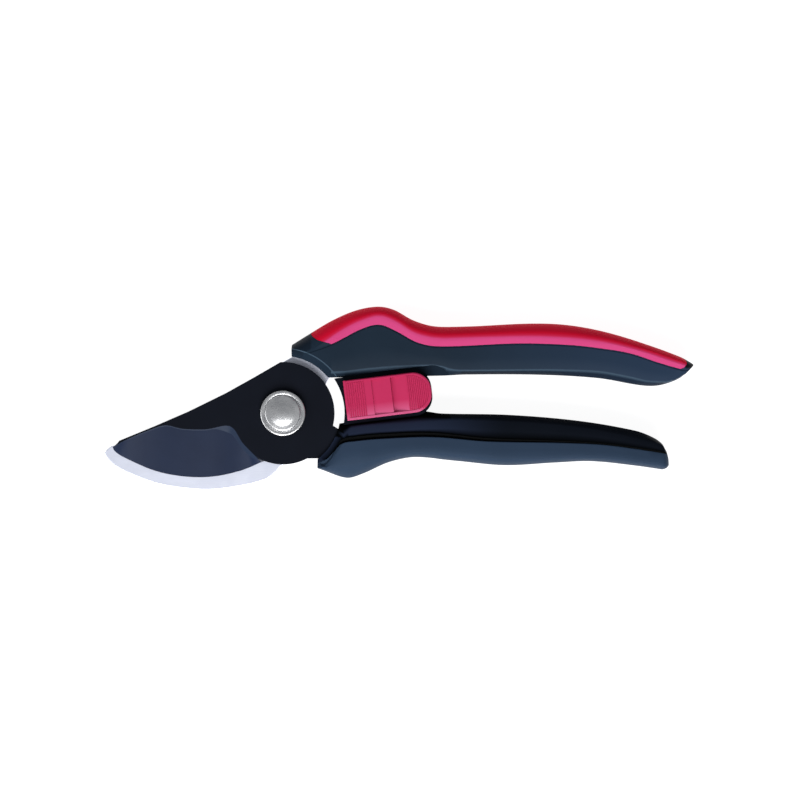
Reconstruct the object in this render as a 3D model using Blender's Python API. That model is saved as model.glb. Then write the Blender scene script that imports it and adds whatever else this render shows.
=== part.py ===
"""Bypass pruning shears, shut and locked, built as separate solids.

Sizes are in millimetres, and every mesh is scaled to metres as it is made. X runs along the tool, from
the blades at -X to the handles at +X. Y runs across it and Z through its thickness. The origin is on the
pivot's axis, on the plane that the nut and the handles rest on.
"""

import math

import bmesh
import bpy

MM = 0.001

# Clearances
GAP = 0.3  # between pieces that touch
RUNNING_GAP = 2.1  # between the turning boss and the handles' fronts
LOCK_GAP = 0.45  # around the sliding lock

# Blades
BLADE_LENGTH = 59.5  # pivot to the cutting blade's tip
CUTTING_THICKNESS = 3.2
COUNTER_THICKNESS = 3.3
EDGE_LAND = 0.3  # what the bevel leaves at the cutting edge
BOSS_RADIUS = 17.8
TANG_LENGTH = 28.0  # how far each tang reaches into its handle
TANG_ROUND = 3.0
COUNTER_SHOULDER_X = 2.6  # where the counter blade's back meets its handle

# Pivot
BUSHING_RADIUS = 5.5
SHANK_RADIUS = 4.0
HEAD_RADIUS = 7.85
HEAD_HEIGHT = 3.2
HEAD_WASHER_RADIUS = 7.4  # stays hidden under the head
SPRING_WASHER_RADIUS = 9.2
WASHER_THICKNESS = 0.6
NUT_ACROSS_FLATS = 14.0

# Handles
HANDLE_THICKNESS = 17.5
UPPER_GRIP_LENGTH = 87.6  # end of the lock's room to the handle's end
LOWER_GRIP_LENGTH = 79.0
FRONT_WALL = 3.25  # from the collar to the outer edge, where a handle starts
INNER_EDGE_HALF = 4.4  # half the thickness at the edge that faces the other handle
END_ROUND = {1: 5.0, -1: 2.5}  # length of the rounded rear end, for the upper and the lower handle
END_THICKNESS = 0.25  # what is left of the thickness at the rear end, as a share
FRONT_THICKNESS = 0.8  # the thickness at the pivot, as a share of the full
FRONT_TAPER = 28.0  # from the pivot to where a handle has its full thickness
GRIP_SETBACK = {1: 0.13, -1: 0.055}  # stations from the handle's start to the grip's
FACE_POINTS = {(1, False): 9, (1, True): 7, (-1, False): 8, (-1, True): 8}  # across a core's or a grip's face

# Slide lock
LOCK_LENGTH = 30.0
LOCK_WIDTH = 13.9
LOCK_ROUND = 6.5
LOCK_HEIGHT = 4.4
LOCK_ANGLE = 7.0
LOCK_TRAVEL = 7.0
LOCK_START = 3.9  # from the boss to the lock's end
LOCK_MIDDLE = 4.3  # height of the lock's end above the pivot
BASE_THICKNESS = 1.4
BASE_WIDTH = 16.4
BUTTON_CHAMFER = 1.2
RIB_HEIGHT = 0.45
FIRST_RIB = 1.2  # from the lock's end
LAST_RIB = 1.6
GROOVE_SHARE = 0.45  # of a rib's pitch
FRONT_RIBS = 8
FRONT_RIB_PITCH = 0.75
REAR_RIBS = 11
REAR_RIB_PITCH = 0.65

# Return spring
WIRE_RADIUS = 0.55
COIL_RADIUS = 3.1
COIL_TURNS = 5
SEAT_THICKNESS = 1.2
SEAT_RIM = 0.5  # how far a seat reaches past the coil's middle line
SEAT_NUB = 1.6  # how far a seat reaches into the coil
SPRING_FROM_LOCK = 22.6  # the coil's axis, from the lock's end

# Screws in the handles
SCREW_RADIUS = 1.6
SCREW_HEAD_RADIUS = 2.9
SCREW_HEAD_HEIGHT = 1.8
SCREW_SPACING = 13.0
SCREW_BOTTOM = 1.6
SCREW_FROM_TANG_END = 5.0
SCREW_LINE = {1: 20.1, -1: -11.0}  # height of the screws in the upper and the lower handle

# Latch, catch and detent, along the slide
LATCH_THICKNESS = 2.4
LATCH_HALF_WIDTH = 2.6
LATCH_TOOTH = 2.0
LOCK_SCREW_U = 8.0
LOCK_SCREW_HEAD_RADIUS = 2.4
LOCK_SCREW_HEAD_HEIGHT = 1.4
LOCK_SCREW_DEPTH = 2.4  # how far it reaches into the button
CATCH_U = 4.2
CATCH_LENGTH = 4.0
CATCH_HEIGHT = 3.0
CATCH_BELOW = 2.2  # how deep it sits in the handle's inner edge
CATCH_ABOVE = 0.9
DETENT_START = 15.0
DETENT_END = 26.0
DETENT_RISE = 1.5
DETENT_HALF_WIDTH = 2.0
LEAF_THICKNESS = 0.4

# Levels through the thickness, worked out from the middle
MIDDLE = HANDLE_THICKNESS / 2
COUNTER_TOP = MIDDLE - GAP / 2
COUNTER_BOTTOM = COUNTER_TOP - COUNTER_THICKNESS
CUTTING_BOTTOM = MIDDLE + GAP / 2
CUTTING_TOP = CUTTING_BOTTOM + CUTTING_THICKNESS
HEAD_BOTTOM = CUTTING_TOP + WASHER_THICKNESS + 2 * GAP
NUT_TOP = COUNTER_BOTTOM - WASHER_THICKNESS - 2 * GAP
BASE_BOTTOM = MIDDLE + COIL_RADIUS + WIRE_RADIUS + GAP
BASE_TOP = BASE_BOTTOM + BASE_THICKNESS
BUTTON_BOTTOM = BASE_TOP + GAP
LATCH_TOP = BASE_BOTTOM - GAP
LATCH_BOTTOM = LATCH_TOP - LATCH_THICKNESS
LOCK_SCREW_TOP = BUTTON_BOTTOM + LOCK_SCREW_DEPTH
SCREW_TOP = CUTTING_TOP + 0.8

# Places along the tool
COLLAR_RADIUS = BOSS_RADIUS + RUNNING_GAP
LOCK_X = BOSS_RADIUS + LOCK_START
FRONT_LENGTH = LOCK_X + LOCK_LENGTH + 3.3
SPRING_X = LOCK_X + SPRING_FROM_LOCK
SEAT_RADIUS = COIL_RADIUS + SEAT_RIM
BASE_END_RADIUS = LOCK_X - GAP
TANG_END = COLLAR_RADIUS + TANG_LENGTH

# The handles' lines, as (station, height). A station is 0 at the pivot, 1 where the lock's room ends and 2
# at the handle's end, so that each line follows the lengths.
UPPER_INNER = (
    (0, 12.2), (1, 13.1), (1.1, 13.5), (1.4, 13.4), (1.63, 12.2), (1.83, 9.5), (1.92, 11.2), (2, 15.4),
)
UPPER_OUTER = (
    (0, 21.9), (0.16, 27.4), (0.31, 32.3), (0.46, 35.8), (0.6, 37.1), (0.7, 36.0), (0.82, 32.4),
    (0.95, 30.3), (1.1, 30.2), (1.35, 31.2), (1.5, 30.7), (1.66, 28.1), (1.85, 22.9), (2, 17.9),
)
UPPER_SPLIT_FRONT = ((0.11, 28.0), (0.18, 25.2), (0.26, 23.8))  # stations past the handle's start
UPPER_SPLIT = (
    (0.37, 25.6), (0.5, 29.2), (0.61, 30.6), (0.72, 28.2),
    (0.84, 24.6), (0.98, 23.1), (1.3, 24.1), (1.5, 23.6), (1.63, 22.4), (1.74, 20.4), (1.86, 17.0),
    (1.94, 15.3), (2, 14.6),
)
LOWER_INNER = (
    (0, -6.8), (0.39, -3.3), (0.86, 0.7), (1, -0.1), (1.3, -0.6), (1.6, -2.6), (1.85, -6.0), (1.93, -8.4),
    (1.97, -10.7), (2, -14.2),
)
LOWER_OUTER = (
    (0.24, -19.6), (0.4, -22.5), (0.5, -21.1), (0.66, -17.2), (0.8, -15.4), (0.92, -15.5), (1.08, -16.7),
    (1.28, -18.1), (1.5, -17.2), (1.66, -16.7), (1.85, -18.2), (2, -19.9),
)
LOWER_SPLIT_FRONT = ((0.03, -20.0), (0.07, -15.6), (0.13, -10.2))
LOWER_SPLIT = (
    (0.46, -9.5), (0.68, -8.5), (0.95, -8.1), (1.2, -9.6),
    (1.5, -10.1), (1.7, -10.8), (1.86, -12.4), (2, -14.2),
)
# How a handle swells: (share of the way from the inner to the outer edge, half thickness short of the full)
UPPER_SWELL = ((0.12, 1.5), (0.5, 0.7), (0.76, 0.0), (0.9, 1.9), (0.97, 4.6), (1, 7.3))
LOWER_SWELL = ((0.24, 3.4), (0.46, 1.6), (0.56, 0.7), (0.76, 0.0), (0.9, 1.9), (0.97, 4.6), (1, 7.3))
HANDLES = {
    1: (UPPER_INNER, UPPER_OUTER, UPPER_SPLIT_FRONT, UPPER_SPLIT, UPPER_SWELL, UPPER_GRIP_LENGTH),
    -1: (LOWER_INNER, LOWER_OUTER, LOWER_SPLIT_FRONT, LOWER_SPLIT, LOWER_SWELL, LOWER_GRIP_LENGTH),
}

# The blades' lines, as (share of the blade's length ahead of the pivot, height)
SPINE = ((0.956, -9.5), (0.755, -4.6), (0.553, 0.6), (0.334, 7.0), (0.166, 12.6))
EDGE = (
    (1, -11.9), (0.985, -13.4), (0.923, -15.7), (0.755, -20.0), (0.587, -22.0), (0.418, -22.1), (0.25, -20.0),
    (0.114, -16.6),
)
BEVEL_LINE = (
    (0.972, -11.0), (0.9, -8.8), (0.8, -6.3), (0.69, -4.2), (0.587, -5.4), (0.45, -5.6), (0.31, -4.5),
    (0.235, -10.4), (0.15, -15.6),
)
HOOK_OUTER = (
    (1.008, -11.4), (1.04, -13.0), (1.042, -14.9), (0.956, -19.4), (0.755, -24.3), (0.587, -26.2),
    (0.418, -26.7), (0.25, -25.4), (0.116, -23.4), (0.06, -21.2), (0.02, -18.6),
)
HOOK_INNER = (
    (0.31, -4.0), (0.27, -10.0), (0.33, -15.4), (0.5, -18.6), (0.7, -18.2), (0.88, -13.8), (0.97, -11.0),
)


# ---- Curves ----

def height_at(line, place):
    """The height of the smooth curve through the line's points, at one place along it."""
    count = len(line)
    index = 0
    while index < count - 2 and line[index + 1][0] < place:
        index += 1
    slopes = []
    for near in (index, index + 1):
        before = line[max(near - 1, 0)]
        after = line[min(near + 1, count - 1)]
        slopes.append((after[1] - before[1]) / (after[0] - before[0]))
    (x0, y0), (x1, y1) = line[index], line[index + 1]
    span = x1 - x0
    t = (place - x0) / span
    if t < 0:
        return y0 + slopes[0] * (place - x0)
    if t > 1:
        return y1 + slopes[1] * (place - x1)
    rise = (3 - 2 * t) * t * t
    return y0 * (1 - rise) + y1 * rise + span * (slopes[0] * t * (1 - t) ** 2 - slopes[1] * t * t * (1 - t))


def curve_through(points, steps):
    """Points evenly spread along the smooth curve through the given points."""
    fine = []
    last = len(points) - 1
    for index in range(last):
        p0, p1, p2, p3 = (points[max(0, min(last, index + k))] for k in (-1, 0, 1, 2))
        for part in range(8):
            t = part / 8
            fine.append(tuple(
                b + 0.5 * ((c - a) * t + (2 * a - 5 * b + 4 * c - d) * t * t + (3 * b - a - 3 * c + d) * t ** 3)
                for a, b, c, d in zip(p0, p1, p2, p3)
            ))
    fine.append(tuple(points[last]))
    reach = [0.0]
    for a, b in zip(fine, fine[1:]):
        reach.append(reach[-1] + math.dist(a, b))
    spread = []
    for step in range(steps + 1):
        wanted = reach[-1] * step / steps
        index = max(i for i in range(len(reach) - 1) if reach[i] <= wanted + 1e-9)
        share = (wanted - reach[index]) / (reach[index + 1] - reach[index])
        spread.append(tuple(a + (b - a) * share for a, b in zip(fine[index], fine[index + 1])))
    return spread


def arc(radius, start, end, steps, centre=(0.0, 0.0)):
    """Points along an arc, from one angle in degrees to another."""
    angles = [math.radians(start + (end - start) * step / steps) for step in range(steps + 1)]
    return [(centre[0] + radius * math.cos(a), centre[1] + radius * math.sin(a)) for a in angles]


def ahead_of_pivot(line):
    """A blade's line as points, with the shares turned into lengths towards -X."""
    return [(-share * BLADE_LENGTH, height) for share, height in line]


def grown(outline, by):
    """The outline, anticlockwise, moved outwards by a distance."""
    moved = []
    for index, point in enumerate(outline):
        before = outline[index - 1]
        after = outline[(index + 1) % len(outline)]
        normals = []
        for a, b in ((before, point), (point, after)):
            length = math.dist(a, b)
            normals.append(((b[1] - a[1]) / length, (a[0] - b[0]) / length))
        x = normals[0][0] + normals[1][0]
        y = normals[0][1] + normals[1][1]
        scale = by * 2 / max(x * x + y * y, 0.8)
        moved.append((point[0] + x * scale, point[1] + y * scale))
    return moved


# ---- Solids ----

def add_object(name, mesh_builder, material, parent=None):
    """An object from a filled bmesh in millimetres."""
    bmesh.ops.recalc_face_normals(mesh_builder, faces=mesh_builder.faces)
    bmesh.ops.scale(mesh_builder, vec=(MM, MM, MM), verts=mesh_builder.verts)
    mesh = bpy.data.meshes.new(name)
    mesh_builder.to_mesh(mesh)
    mesh_builder.free()
    made = bpy.data.objects.new(name, mesh)
    bpy.context.scene.collection.objects.link(made)
    made.parent = parent
    if material:
        mesh.materials.append(material)
    mesh.shade_smooth()
    mesh.set_sharp_from_angle(angle=math.radians(35))
    return made


def add_loft(name, rings, material, parent=None):
    """A closed solid through rings of points, each ring with the same number of points."""
    builder = bmesh.new()
    placed = [[builder.verts.new(point) for point in ring] for ring in rings]
    for lower, upper in zip(placed, placed[1:]):
        for index in range(len(lower)):
            after = (index + 1) % len(lower)
            builder.faces.new((lower[index], lower[after], upper[after], upper[index]))
    builder.faces.new(placed[0][::-1])
    builder.faces.new(placed[-1])
    return add_object(name, builder, material, parent)


def add_plate(name, outline, bottom, top, material, parent=None):
    """A flat plate with the given outline."""
    rings = [[(x, y, z) for x, y in outline] for z in (bottom, top)]
    return add_loft(name, rings, material, parent)


def add_turned(name, profile, material, parent=None, sides=48, centre=(0.0, 0.0)):
    """A solid turned about a vertical axis. The profile runs up its outer side as (radius, height)."""
    rings = []
    for radius, z in profile:
        circle = arc(radius, 0, 360, sides, centre)[:-1]
        rings.append([(x, y, z) for x, y in circle])
    return add_loft(name, rings, material, parent)


def make_cutter(cutter):
    """Hides a shape that only cuts others."""
    cutter.hide_render = True
    cutter.display_type = "WIRE"
    return cutter


def cut(target, cutter):
    """Takes the cutter's shape out of the target."""
    modifier = target.modifiers.new(cutter.name, "BOOLEAN")
    modifier.operation = "DIFFERENCE"
    modifier.solver = "EXACT"
    modifier.object = make_cutter(cutter)


def drill(target, radius, bottom, top, centre=(0.0, 0.0), sides=32):
    """A round hole through the target, along Z."""
    name = f"{target.name}_hole_{len(target.modifiers)}"
    cut(target, add_turned(name, ((radius, bottom), (radius, top)), None, target.parent, sides, centre))


# ---- Materials ----

def linear(channel):
    """One sRGB channel from 0 to 1, made linear."""
    return channel / 12.92 if channel <= 0.04045 else ((channel + 0.055) / 1.055) ** 2.4


def make_material(name, colour, roughness, metallic=0.0):
    """A plain surface with an sRGB hex colour."""
    channels = [int(colour[i:i + 2], 16) / 255 for i in (0, 2, 4)]
    made = bpy.data.materials.new(name)
    made.use_nodes = True
    shader = made.node_tree.nodes["Principled BSDF"]
    shader.inputs["Base Color"].default_value = (*(linear(c) for c in channels), 1)
    shader.inputs["Roughness"].default_value = roughness
    shader.inputs["Metallic"].default_value = metallic
    return made


# ---- Blades ----

def tang_outline(side):
    """The tang's corners, from its lower root round its end to its upper root."""
    if side > 0:
        low, high, root_low, root_high = 16.6, 23.6, (15.6, 11.9), (10.0, 23.6)
    else:
        low, high, root_low, root_high = -14.4, -7.6, (9.2, -15.3), (17.1, -4.9)
    ends = arc(TANG_ROUND, -90, 0, 4, (TANG_END - TANG_ROUND, low + TANG_ROUND))
    ends += arc(TANG_ROUND, 0, 90, 4, (TANG_END - TANG_ROUND, high - TANG_ROUND))
    shoulder = (COLLAR_RADIUS + 2.5, high if side < 0 else low)
    if side > 0:
        return [root_low, shoulder, *ends, root_high]
    return [root_low, (COLLAR_RADIUS, low - 1.2), *ends, shoulder]


def boss_point(angle, radius=BOSS_RADIUS):
    """A point on the boss's rim."""
    return arc(radius, angle, angle, 1)[0]


def cutting_outlines():
    """The cutting blade's full outline, and the outline of what the bevel leaves at its front face."""
    spine_end = boss_point(93)
    tang = tang_outline(-1)[1:]
    lower_rim = arc(BOSS_RADIUS, -111, -62, 8)
    upper_rim = arc(BOSS_RADIUS, -14, 93, 20)
    spine = ahead_of_pivot(SPINE)[::-1]
    back = [*lower_rim, *tang, *upper_rim[:-1], spine_end, *spine]
    edge = curve_through(ahead_of_pivot(EDGE), 26)
    bevel = curve_through(ahead_of_pivot(BEVEL_LINE), 26)
    return edge[:-1] + back, bevel[:-1] + back


def add_cutting_blade(material, parent):
    """The coated blade, with its bevel, and its holes for the bushing and the screws."""
    full, front = cutting_outlines()
    land = CUTTING_BOTTOM + EDGE_LAND
    rings = [[(x, y, z) for x, y in full] for z in (CUTTING_BOTTOM, land)]
    rings.append([(x, y, CUTTING_TOP) for x, y in front])
    blade = add_loft("cutting_blade", rings, material, parent)
    drill(blade, BUSHING_RADIUS + GAP, CUTTING_BOTTOM - 1, CUTTING_TOP + 1)
    drill_screw_holes(blade, -1)
    return blade


def counter_outline():
    """The counter blade's outline: the hook, the boss behind the cutting blade's, and the tang."""
    outer = curve_through(ahead_of_pivot(HOOK_OUTER), 30)
    inner = curve_through(ahead_of_pivot(HOOK_INNER), 24)
    rim = arc(BOSS_RADIUS - GAP, -88, 34, 22)
    shoulder = (COUNTER_SHOULDER_X, 19.4)
    behind_spine = [(-0.07 * BLADE_LENGTH, 15.7), (-0.2 * BLADE_LENGTH, 10.7)]
    left_rim = arc(BOSS_RADIUS - 1.5, 150, 176, 5)
    return outer + rim + tang_outline(1) + [shoulder] + behind_spine + left_rim + inner


def add_counter_blade(material, parent):
    """The bright hook blade, with its holes for the bushing and the screws."""
    blade = add_plate("counter_blade", counter_outline(), COUNTER_BOTTOM, COUNTER_TOP, material, parent)
    drill(blade, BUSHING_RADIUS + GAP, COUNTER_BOTTOM - 1, COUNTER_TOP + 1)
    drill_screw_holes(blade, 1)
    return blade


# ---- Pivot ----

def add_pivot(steel, bright, bronze, parent):
    """The bolt, its bushing, the two washers and the closed nut."""
    shank_bottom = NUT_TOP * 0.35
    top = HEAD_BOTTOM + HEAD_HEIGHT
    rim = 0.3 * HEAD_HEIGHT
    dome = HEAD_RADIUS * 0.74
    profile = [
        (SHANK_RADIUS, shank_bottom), (SHANK_RADIUS, HEAD_BOTTOM), (HEAD_RADIUS, HEAD_BOTTOM),
        (HEAD_RADIUS, HEAD_BOTTOM + rim), (HEAD_RADIUS - 0.5, HEAD_BOTTOM + rim + 0.5),
        (dome, HEAD_BOTTOM + rim + 0.5), (dome, top - 0.6), (dome - 0.8, top - 0.25), (dome * 0.5, top),
    ]
    add_turned("pivot_bolt", profile, bright, parent)
    washer = HEAD_WASHER_RADIUS
    ring = ((washer, CUTTING_TOP + GAP), (washer, CUTTING_TOP + GAP + WASHER_THICKNESS))
    drill(add_turned("head_washer", ring, steel, parent), SHANK_RADIUS + GAP, CUTTING_TOP, HEAD_BOTTOM)
    washer = SPRING_WASHER_RADIUS
    ring = ((washer, NUT_TOP + GAP), (washer, NUT_TOP + GAP + WASHER_THICKNESS))
    drill(add_turned("spring_washer", ring, steel, parent), SHANK_RADIUS + GAP, NUT_TOP, COUNTER_BOTTOM)
    sleeve = ((BUSHING_RADIUS, COUNTER_BOTTOM), (BUSHING_RADIUS, CUTTING_TOP))
    bushing = add_turned("pivot_bushing", sleeve, bronze, parent)
    drill(bushing, SHANK_RADIUS + GAP, COUNTER_BOTTOM - 1, CUTTING_TOP + 1)
    across = NUT_ACROSS_FLATS / math.sqrt(3)
    hexagon = ((across - 0.4, 0), (across, 0.4), (across, NUT_TOP - 0.3), (across - 0.3, NUT_TOP))
    nut = add_turned("pivot_nut", hexagon, steel, parent, sides=6)
    drill(nut, SHANK_RADIUS + GAP, shank_bottom - GAP, NUT_TOP + 1)


# ---- Handles ----

def place_along(station, side):
    """Where a station lies along X."""
    if station < 1:
        return station * FRONT_LENGTH
    return FRONT_LENGTH + (station - 1) * HANDLES[side][-1]


def half_thickness(side, share):
    """Half the handle's thickness, a share of the way across from the inner edge."""
    swell = HANDLES[side][4]
    line = ((0, INNER_EDGE_HALF),) + tuple((place, MIDDLE - short) for place, short in swell)
    for (x0, y0), (x1, y1) in zip(line, line[1:]):
        if share <= x1:
            return y0 + (y1 - y0) * (share - x0) / (x1 - x0)
    return line[-1][1]


def handle_ring(side, station, grip):
    """The section of the core or the grip at one station, in a plane across X."""
    inner_line, outer_line, split_front, split_rest, swell, _ = HANDLES[side]
    start = first_station(side)
    split_line = tuple((start + past, height) for past, height in split_front) + split_rest
    x = place_along(station, side)
    inner = height_at(inner_line, station)
    outer = height_at(outer_line, station)
    width = outer - inner
    step = 0.004
    rise = height_at(split_line, station + step) - height_at(split_line, station - step)
    run = place_along(station + step, side) - place_along(station - step, side)
    gap = GAP * math.hypot(1, rise / run) / abs(width)
    split = min(max((height_at(split_line, station) - inner) / width, 0.2), 0.98 - gap)
    if station < grip_station(side):
        split = 1
    low, high = (split + gap, 1) if grip else (0, split)
    end = place_along(2, side)
    t = max(0.0, (x - (end - END_ROUND[side])) / END_ROUND[side])
    rounding = (1 - min(t, 0.995) ** 2) ** 0.5
    middle = inner + width * 0.62
    front = min(1.0, FRONT_THICKNESS + (1 - FRONT_THICKNESS) * x / FRONT_TAPER)
    shares = [low] + [place for place, _ in swell if low + 0.04 < place < high - 0.02] + [high]
    while len(shares) < FACE_POINTS[side, grip]:
        widths = [b - a for a, b in zip(shares, shares[1:])]
        widest = widths.index(max(widths))
        shares.insert(widest + 1, (shares[widest] + shares[widest + 1]) / 2)
    face = []
    for share in shares:
        y = middle + (inner + width * share - middle) * rounding
        half = half_thickness(side, share) * (END_THICKNESS + (1 - END_THICKNESS) * rounding) * front
        face.append((y, half))
    upper = [(x, y, MIDDLE + half) for y, half in face]
    lower = [(x, y, MIDDLE - half) for y, half in reversed(face)]
    return upper + lower


def first_station(side):
    """Where a handle starts: where its outer edge is first a wall's thickness clear of the collar."""
    station = 0.0
    outer_line = HANDLES[side][1]
    while math.hypot(place_along(station, side), height_at(outer_line, station)) < COLLAR_RADIUS + FRONT_WALL:
        station += 0.005
    return station


def grip_station(side):
    """Where a handle's grip starts."""
    return first_station(side) + GRIP_SETBACK[side]


def stations(side):
    """Places for the sections, with one where the grip starts, and closer together round the rear end."""
    first, grip_start = first_station(side), grip_station(side)
    round_start = 2 - END_ROUND[side] / HANDLES[side][-1]
    runs = ((first, grip_start, 5), (grip_start, 1, 22), (1, round_start, 14))
    places = [a + (b - a) * step / steps for a, b, steps in runs for step in range(steps)]
    return places + [round_start + (2 - round_start) * math.sin(math.radians(angle)) for angle in range(0, 86, 17)]


def screw_places(side):
    """The two screws' places in one handle."""
    rear = TANG_END - SCREW_FROM_TANG_END
    return [(rear - SCREW_SPACING, SCREW_LINE[side]), (rear, SCREW_LINE[side])]


def drill_screw_holes(target, side):
    """Clearance holes for the tang screws, through the whole piece."""
    for centre in screw_places(side):
        drill(target, SCREW_RADIUS + GAP, -1, SCREW_TOP + GAP, centre, 20)


def cut_screw_seats(target, side):
    """Counterbores from behind, and the shanks' holes."""
    drill_screw_holes(target, side)
    for centre in screw_places(side):
        drill(target, SCREW_HEAD_RADIUS + GAP, -1, SCREW_BOTTOM + SCREW_HEAD_HEIGHT + GAP, centre, 24)


def add_screws(side, names, material, parent):
    """The screws that hold a tang in its handle, put in from behind."""
    for name, centre in zip(names, screw_places(side)):
        neck = SCREW_BOTTOM + SCREW_HEAD_HEIGHT
        profile = (
            (SCREW_HEAD_RADIUS - 0.3, SCREW_BOTTOM), (SCREW_HEAD_RADIUS, SCREW_BOTTOM + 0.3),
            (SCREW_HEAD_RADIUS, neck), (SCREW_RADIUS, neck), (SCREW_RADIUS, SCREW_TOP),
        )
        screw = add_turned(name, profile, material, parent, 24, centre)
        drill(screw, SCREW_RADIUS, SCREW_BOTTOM - 1, SCREW_BOTTOM + 1, centre, 6)


def add_handle(side, names, materials, parent, outline, levels):
    """A handle's core and its grip, with the slot for the tang and the seats for the screws."""
    places = stations(side)
    core = add_loft(names[0], [handle_ring(side, s, False) for s in places], materials[0], parent)
    covered = [s for s in places if s >= grip_station(side)]
    grip = add_loft(names[1], [handle_ring(side, s, True) for s in covered], materials[1], parent)
    for piece in (core, grip):
        slot = f"{piece.name}_slot"
        cut(piece, add_plate(slot, grown(outline, GAP), levels[0] - GAP, levels[1] + GAP, None, parent))
        drill(piece, COLLAR_RADIUS, -1, HANDLE_THICKNESS + 1, sides=72)
        cut_screw_seats(piece, side)
    return core, grip


# ---- Slide lock ----

def lock_outline(grow, width=LOCK_WIDTH, travel=0.0, lead=0.0):
    """The lock's rounded outline in its own frame, with u along it, longer by a travel and by a lead."""
    half = width / 2 + grow
    start = -grow - lead
    end = LOCK_LENGTH + grow + travel
    rounding = min(LOCK_ROUND + grow, half - 1)
    front = min(1.5 + grow, half - 1)
    return (
        arc(front, 180, 270, 4, (start + front, front - half))
        + arc(rounding, -90, 0, 8, (end - rounding, rounding - half))
        + arc(rounding, 0, 90, 8, (end - rounding, half - rounding))
        + arc(front, 90, 180, 4, (start + front, half - front))
    )


def lock_frame():
    """The empty that the lock slides with, turned so that its X is the slide's direction."""
    frame = bpy.data.objects.new("lock_slide", None)
    bpy.context.scene.collection.objects.link(frame)
    frame.location = (LOCK_X * MM, LOCK_MIDDLE * MM, 0)
    frame.rotation_euler = (0, 0, math.radians(LOCK_ANGLE))
    return frame


def in_world(u, w):
    """A point of the lock's frame, in the tool's frame."""
    a = math.radians(LOCK_ANGLE)
    return LOCK_X + u * math.cos(a) - w * math.sin(a), LOCK_MIDDLE + u * math.sin(a) + w * math.cos(a)


def add_lock_room(core, grip, frame):
    """Takes the lock's room, over its whole travel, out of a handle."""
    for piece in (core, grip):
        outline = lock_outline(LOCK_GAP, max(LOCK_WIDTH, BASE_WIDTH), LOCK_TRAVEL, LOCK_START)
        room = add_plate(f"{piece.name}_lock_room", outline, BASE_BOTTOM - GAP, HANDLE_THICKNESS + 9, None, frame)
        cut(piece, room)


def rib_places():
    """Where the ribs' grooves start along the lock, each with its pitch."""
    front = [(FIRST_RIB + FRONT_RIB_PITCH * i, FRONT_RIB_PITCH) for i in range(FRONT_RIBS)]
    rear = [(LOCK_LENGTH - LAST_RIB - REAR_RIB_PITCH * (i + 1), REAR_RIB_PITCH) for i in range(REAR_RIBS)]
    return front + rear


def add_lock_button(material, frame):
    """The slide's button: a low block with a step in the middle, ribs at both ends and a hollow below."""
    outer = lock_outline(0)
    shoulder = lock_outline(-0.6 * BUTTON_CHAMFER)
    crown = lock_outline(-BUTTON_CHAMFER)
    top = BUTTON_BOTTOM + LOCK_HEIGHT
    rings = [
        [(u, w, BUTTON_BOTTOM) for u, w in outer],
        [(u, w, top - BUTTON_CHAMFER) for u, w in outer],
        [(u, w, top - 0.3 * BUTTON_CHAMFER) for u, w in shoulder],
        [(u, w, top) for u, w in crown],
    ]
    button = add_loft("lock_button", rings, material, frame)
    half = LOCK_WIDTH / 2 + 1
    for start, pitch in rib_places():
        end = start + pitch * GROOVE_SHARE
        groove = ((start, -half), (end, -half), (end, half), (start, half))
        name = f"lock_button_groove_{len(button.modifiers)}"
        cut(button, add_plate(name, groove, top - RIB_HEIGHT, top + 1, None, frame))
    start, end, half = DETENT_START - 1, DETENT_END + 1, DETENT_HALF_WIDTH + 1
    room = ((start, -half), (end, -half), (end, half), (start, half))
    ceiling = BUTTON_BOTTOM + DETENT_RISE + 1
    cut(button, add_plate("lock_button_hollow", room, BUTTON_BOTTOM - 1, ceiling, None, frame))
    drill(button, SCREW_RADIUS + GAP, BUTTON_BOTTOM - 1, LOCK_SCREW_TOP + GAP, (LOCK_SCREW_U, 0), 20)
    return button


def add_lock_base(material, frame, parent):
    """The plate that closes the gap between the handles and guides the lock, with a slot for its screw."""
    outline = lock_outline(GAP / 2, BASE_WIDTH - GAP, 0, LOCK_START)
    base = add_plate("lock_base", outline, BASE_BOTTOM, BASE_TOP, material, frame)
    round_boss = (BASE_END_RADIUS, BASE_BOTTOM - 1), (BASE_END_RADIUS, BASE_TOP + 1)
    cut(base, add_turned("lock_base_end", round_boss, None, parent, 72))
    half = SCREW_RADIUS + GAP
    slot = arc(half, 90, 270, 6, (LOCK_SCREW_U, 0)) + arc(half, -90, 90, 6, (LOCK_SCREW_U + LOCK_TRAVEL, 0))
    cut(base, add_plate("lock_base_slot", slot, BASE_BOTTOM - 1, BASE_TOP + 1, None, frame))
    return base


def add_latch(material, frame):
    """The steel slider under the base. Its tooth points at the catch on the lower handle."""
    half, tooth = LATCH_HALF_WIDTH, LATCH_HALF_WIDTH + LATCH_TOOTH
    front, notch, rear = LOCK_SCREW_U - 4, LOCK_SCREW_U - 1, LOCK_SCREW_U + 3.5
    outline = (
        (front, -half), (front, -tooth), (notch, -tooth), (notch, -half), (rear, -half), (rear, half), (front, half),
    )
    latch = add_plate("lock_latch", outline, LATCH_BOTTOM, LATCH_TOP, material, frame)
    drill(latch, SCREW_RADIUS + GAP, LATCH_BOTTOM - 1, LATCH_TOP + 1, (LOCK_SCREW_U, 0), 20)


def add_lock_screw(material, frame):
    """The screw through the latch and the base's slot into the button."""
    head_top = LATCH_BOTTOM - GAP
    head = LOCK_SCREW_HEAD_RADIUS
    profile = (
        (head, head_top - LOCK_SCREW_HEAD_HEIGHT), (head, head_top), (SCREW_RADIUS, head_top),
        (SCREW_RADIUS, LOCK_SCREW_TOP),
    )
    add_turned("lock_screw", profile, material, frame, 20, (LOCK_SCREW_U, 0))


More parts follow.
